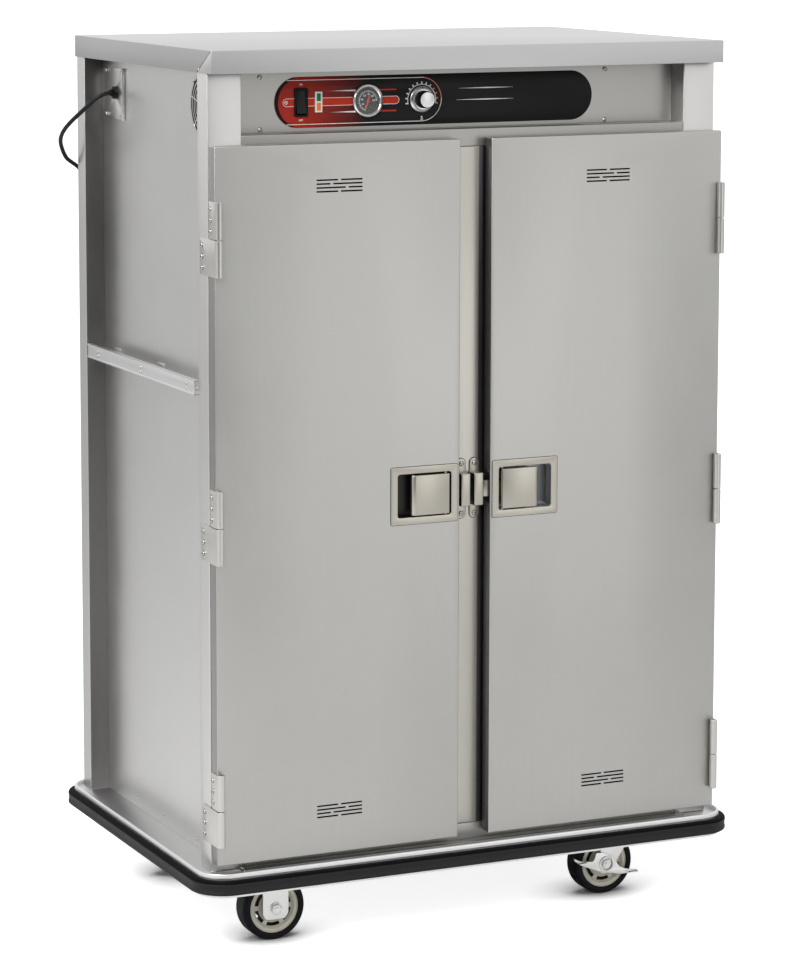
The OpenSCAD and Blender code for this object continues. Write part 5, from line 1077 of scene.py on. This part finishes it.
housing = [front(plate([rect(15, 39, 1.2)], 1.8, 0.5, 3), LIGHTS_X, FACE_Y, CONTROL_Z),
           rbox((LIGHTS_X - 6, FACE_Y - 0.1, CONTROL_Z - 18), (LIGHTS_X + 6, FACE_Y + 14, CONTROL_Z + 18), 0.5)]
lens = plate([rect(8.0, 14.8, 0.8)], 1.2, 0.5, 3)
make("indicator_block", [(housing, WHITE_PLASTIC), (front(lens, LIGHTS_X, FACE_Y - 1.2, CONTROL_Z + 9), GREEN_LENS),
                         (front(lens, LIGHTS_X, FACE_Y - 1.2, CONTROL_Z - 9), AMBER_LENS)],
     "indicator_lights")

SWEEP_FROM, SWEEP, DIAL_Y = 252.0, 250.0, FACE_Y - 3.0
gauge_at = (GAUGE_X, FACE_Y, CONTROL_Z)
bezel = lathe([(26.9, 0), (32, 0), (32, 2.6), (31.4, 4.4), (30.4, 5.9), (29.6, 6.4), (28.8, 6.2), (28.2, 5.2),
               (27.4, 5.0), (26.9, 4.4)], 72)
inner = lathe([(26.9, 3.0), (27.2, 4.8), (25.2, 3.4), (25.0, 3.05)], 72)
case = lathe([(0, 3), (26.9, 3), (26.9, -3), (26, -3), (26, -19.5), (0, -19.5)], 48)
make("gauge_case", [([front(bezel, *gauge_at), front(inner, *gauge_at)], CHROME), (front(case, *gauge_at), DIAL_BLACK)],
     "thermometer")
marks = [arc_strip(17.6, 18.2, SWEEP_FROM - SWEEP, SWEEP_FROM, 60)]
for i in range(31):
    a = radians(SWEEP_FROM - SWEEP * i / 30)
    r0, w = (15.2, 0.34) if i % 5 == 0 else (16.6, 0.18)
    marks.append([(r * cos(a) - s * w * sin(a), r * sin(a) + s * w * cos(a))
                  for r, s in ((r0, -1), (20.6, -1), (20.6, 1), (r0, 1))])
dial = [front(plate([mark], 0.1, 0.0), GAUGE_X, DIAL_Y, CONTROL_Z) for mark in marks]
for i in range(7):
    a = radians(SWEEP_FROM - SWEEP * i / 6)
    dial.append(words(str(30 * i + 30), 4.0, GAUGE_X + 12.2 * cos(a), DIAL_Y - 0.08, 12.2 * sin(a)))
make("gauge_marks", (dial, PRINT_WHITE))
needle = [(-11, -1.5), (-2.5, -1.9), (0, -2.5), (2.5, -1.9), (15.5, -1.0), (18, 0), (15.5, 1.0), (2.5, 1.9), (0, 2.5),
          (-2.5, 1.9), (-11, 1.5)]
pivot = lathe([(0, 1.55), (2.0, 1.5), (2.9, 1.1), (2.9, 0.6), (1.2, 0.6), (1.2, -2.4), (0, -2.4)], 24)
arrow = [front(plate([needle], 0.8, 0.2), GAUGE_X, DIAL_Y - 0.6, CONTROL_Z, -108),
         front(pivot, GAUGE_X, DIAL_Y, CONTROL_Z)]
make("gauge_needle_arrow", (arrow, NEEDLE_RED), "thermometer_needle", "gauge_needle")
glass = lathe([(0, 5.4), (27.3, 5.0), (27.3, 4.5), (0, 4.9)], 64)
make("gauge_glass", (front(glass, *gauge_at), GLASS), sharp=60)

skirt = lathe([(3.1, 0), (24.6, 0), (25, 0.5), (25, 1.6), (24.4, 2.3), (20.6, 3.4), (20.0, 5.2), (19.4, 5.9),
               (18.6, 6.0), (3.1, 6.0)], 80)
verts, faces = lathe([(3.1, 5.9), (17, 5.9), (17, 7), (16.4, 24), (15.6, 25.2), (15.0, 25.4), (3.1, 25.4)], 128)
radius, around = np.hypot(verts[:, 0], verts[:, 1]), np.arctan2(verts[:, 1], verts[:, 0])
flute = 1 - 0.05 * np.maximum(0, np.cos(16 * around)) ** 1.5 * (radius > 15.1) * (verts[:, 2] > 6.5)
grip = (verts * np.stack([flute, flute, np.ones(len(flute))], 1), faces)
disc = lathe([(0, 25.8), (12.6, 25.75), (13.4, 26.0), (14.4, 25.9), (14.8, 25.3), (14.8, 24.4), (0, 24.4)], 64)
mark = rbox((-0.6, 20.8, 3.0), (0.6, 24.2, 3.45), 0.0)
knob = [(front(shape, KNOB_X, FACE_Y - 0.8, CONTROL_Z), material) for shape, material in (
    (skirt, SATIN_KNOB), (grip, GLOSS_BLACK), (disc, SATIN_KNOB), (mark, DIAL_BLACK))]
make("thermostat_dial", knob, "thermostat_knob", "knob")
finish_cad("thermostat_body", ZINC)
print("controls made")

# %% [markdown]
# ## Inside
# Liner, uprights with clips, shelves, air duct, blower. They keep the CAD meshes; the
# heating element in the duct and the plug's blades get their own metal.

# %%
for node in ("liner", "shelf_rails", "shelves", "air_duct"):
    finish_cad(node, STEEL_INSIDE)
finish_cad("blower_motor", MOTOR_GREY)
finish_cad("blower_wheel", ALUMINIUM)
BLOWER_Y, DUCT_Z, BLADE_Y = 90.0, BOX["air_duct"][0][2], BOX["power_plug"][1][1] - 19.5
repaint(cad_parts["air_duct"], HEATER_METAL, lambda middle, normal:
        89 < hypot(middle[0], middle[1] - BLOWER_Y) < 103 and DUCT_Z + 1.25 < middle[2] < DUCT_Z + 40)
repaint(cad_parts["power_plug"], BRASS, lambda middle, normal: middle[1] > BLADE_Y)
print("inside finished")

# %% [markdown]
# ## Light
# A pale dome gives even light, and its white is also what the camera and the metal see. A
# broad lamp at the upper left shapes the folds. A black flag behind the camera is what the
# folds that look back at it reflect: it gives the steel its dark lines. The floor turns
# white through a glow that ambient occlusion takes away close to what stands on it: a
# painted contact shade, in which the floor's real shadow shows.

# %%
DOME, FLOOR_GLOW, CONTACT, FLOOR_HALF = 0.62, 0.8, 0.105, 60.0
KEY_POWER, DOOR_POWER = 260.0, 4.2
FLAG_AT, FLAG_TURN, FLAG_W, FLAG_H = 8.2, 29.0, 9.0, 5.5

scene.view_settings.view_transform = "Standard"
scene.world = bpy.data.worlds.new("studio")
scene.world.use_nodes = True
tree = scene.world.node_tree
background = tree.nodes["Background"]
background.inputs["Color"].default_value = (1, 1, 1, 1)
path = add(tree, "LightPath", {}).outputs
seen = combine(tree, "MAXIMUM", path["Is Glossy Ray"], path["Is Transmission Ray"])
seen = combine(tree, "MAXIMUM", path["Is Camera Ray"], seen)
tree.links.new(remap(tree, seen, 0.0, 1.0, DOME, 1.0), background.inputs["Strength"])


def lamp(name, at, aim_at, size, power):
    """Soft square area lamp that looks at a point, all in metres."""
    data = bpy.data.lights.new(name, "AREA")
    data.shape, data.size, data.size_y, data.energy = "RECTANGLE", size, size, power
    made = placed(name, data)
    made.location = at
    made.rotation_euler = (Vector(aim_at) - Vector(at)).to_track_quat("-Z", "Y").to_euler()


lamp("key", (-3.2, -2.6, 4.2), (0, 0, 0.9), 3.0, KEY_POWER)
lamp("door_light", (1.6, -3.6, 0.8), (0, -0.37, 1.0), 1.3, DOOR_POWER)


def card(name, corners, material):
    """Flat sheet of the studio, from its corners in metres."""
    mesh = bpy.data.meshes.new(name)
    mesh.from_pydata(corners, [], [tuple(range(len(corners)))])
    mesh.materials.append(material)
    made = placed(name, mesh)
    return made


paint = Paint("studio_floor", (0.8, 0.8, 0.8), roughness=0.9, Emission_Color=(1, 1, 1, 1))
# Painted contact shade: ambient occlusion fades the camera-seen glow near what stands on the floor.
contact = add(paint.tree, "AmbientOcclusion", {"Distance": CONTACT}, samples=8).outputs["AO"]
glow = combine(paint.tree, "MULTIPLY", remap(paint.tree, contact, 0.5, 0.99, 0.0, FLOOR_GLOW),
               add(paint.tree, "LightPath", {}).outputs["Is Camera Ray"])
paint.tree.links.new(glow, paint.shader.inputs["Emission Strength"])
card("floor", [(x * FLOOR_HALF, y * FLOOR_HALF, 0) for x, y in ((-1, -1), (1, -1), (1, 1), (-1, 1))], paint.material)
turn = radians(FLAG_TURN)
away, rise = Vector((-sin(turn), -cos(turn), 0)) * FLAG_AT, Vector((0, 0, FLAG_H))
along = Vector((cos(turn), -sin(turn), 0)) * FLAG_W / 2
flag = card("flag", [away - along + rise * 0.01, away + along + rise * 0.01, away + along + rise, away - along + rise],
            moulded("flag_cloth", (0.02, 0.02, 0.02), 0.9))
flag.visible_camera = False
print("light and floor made")
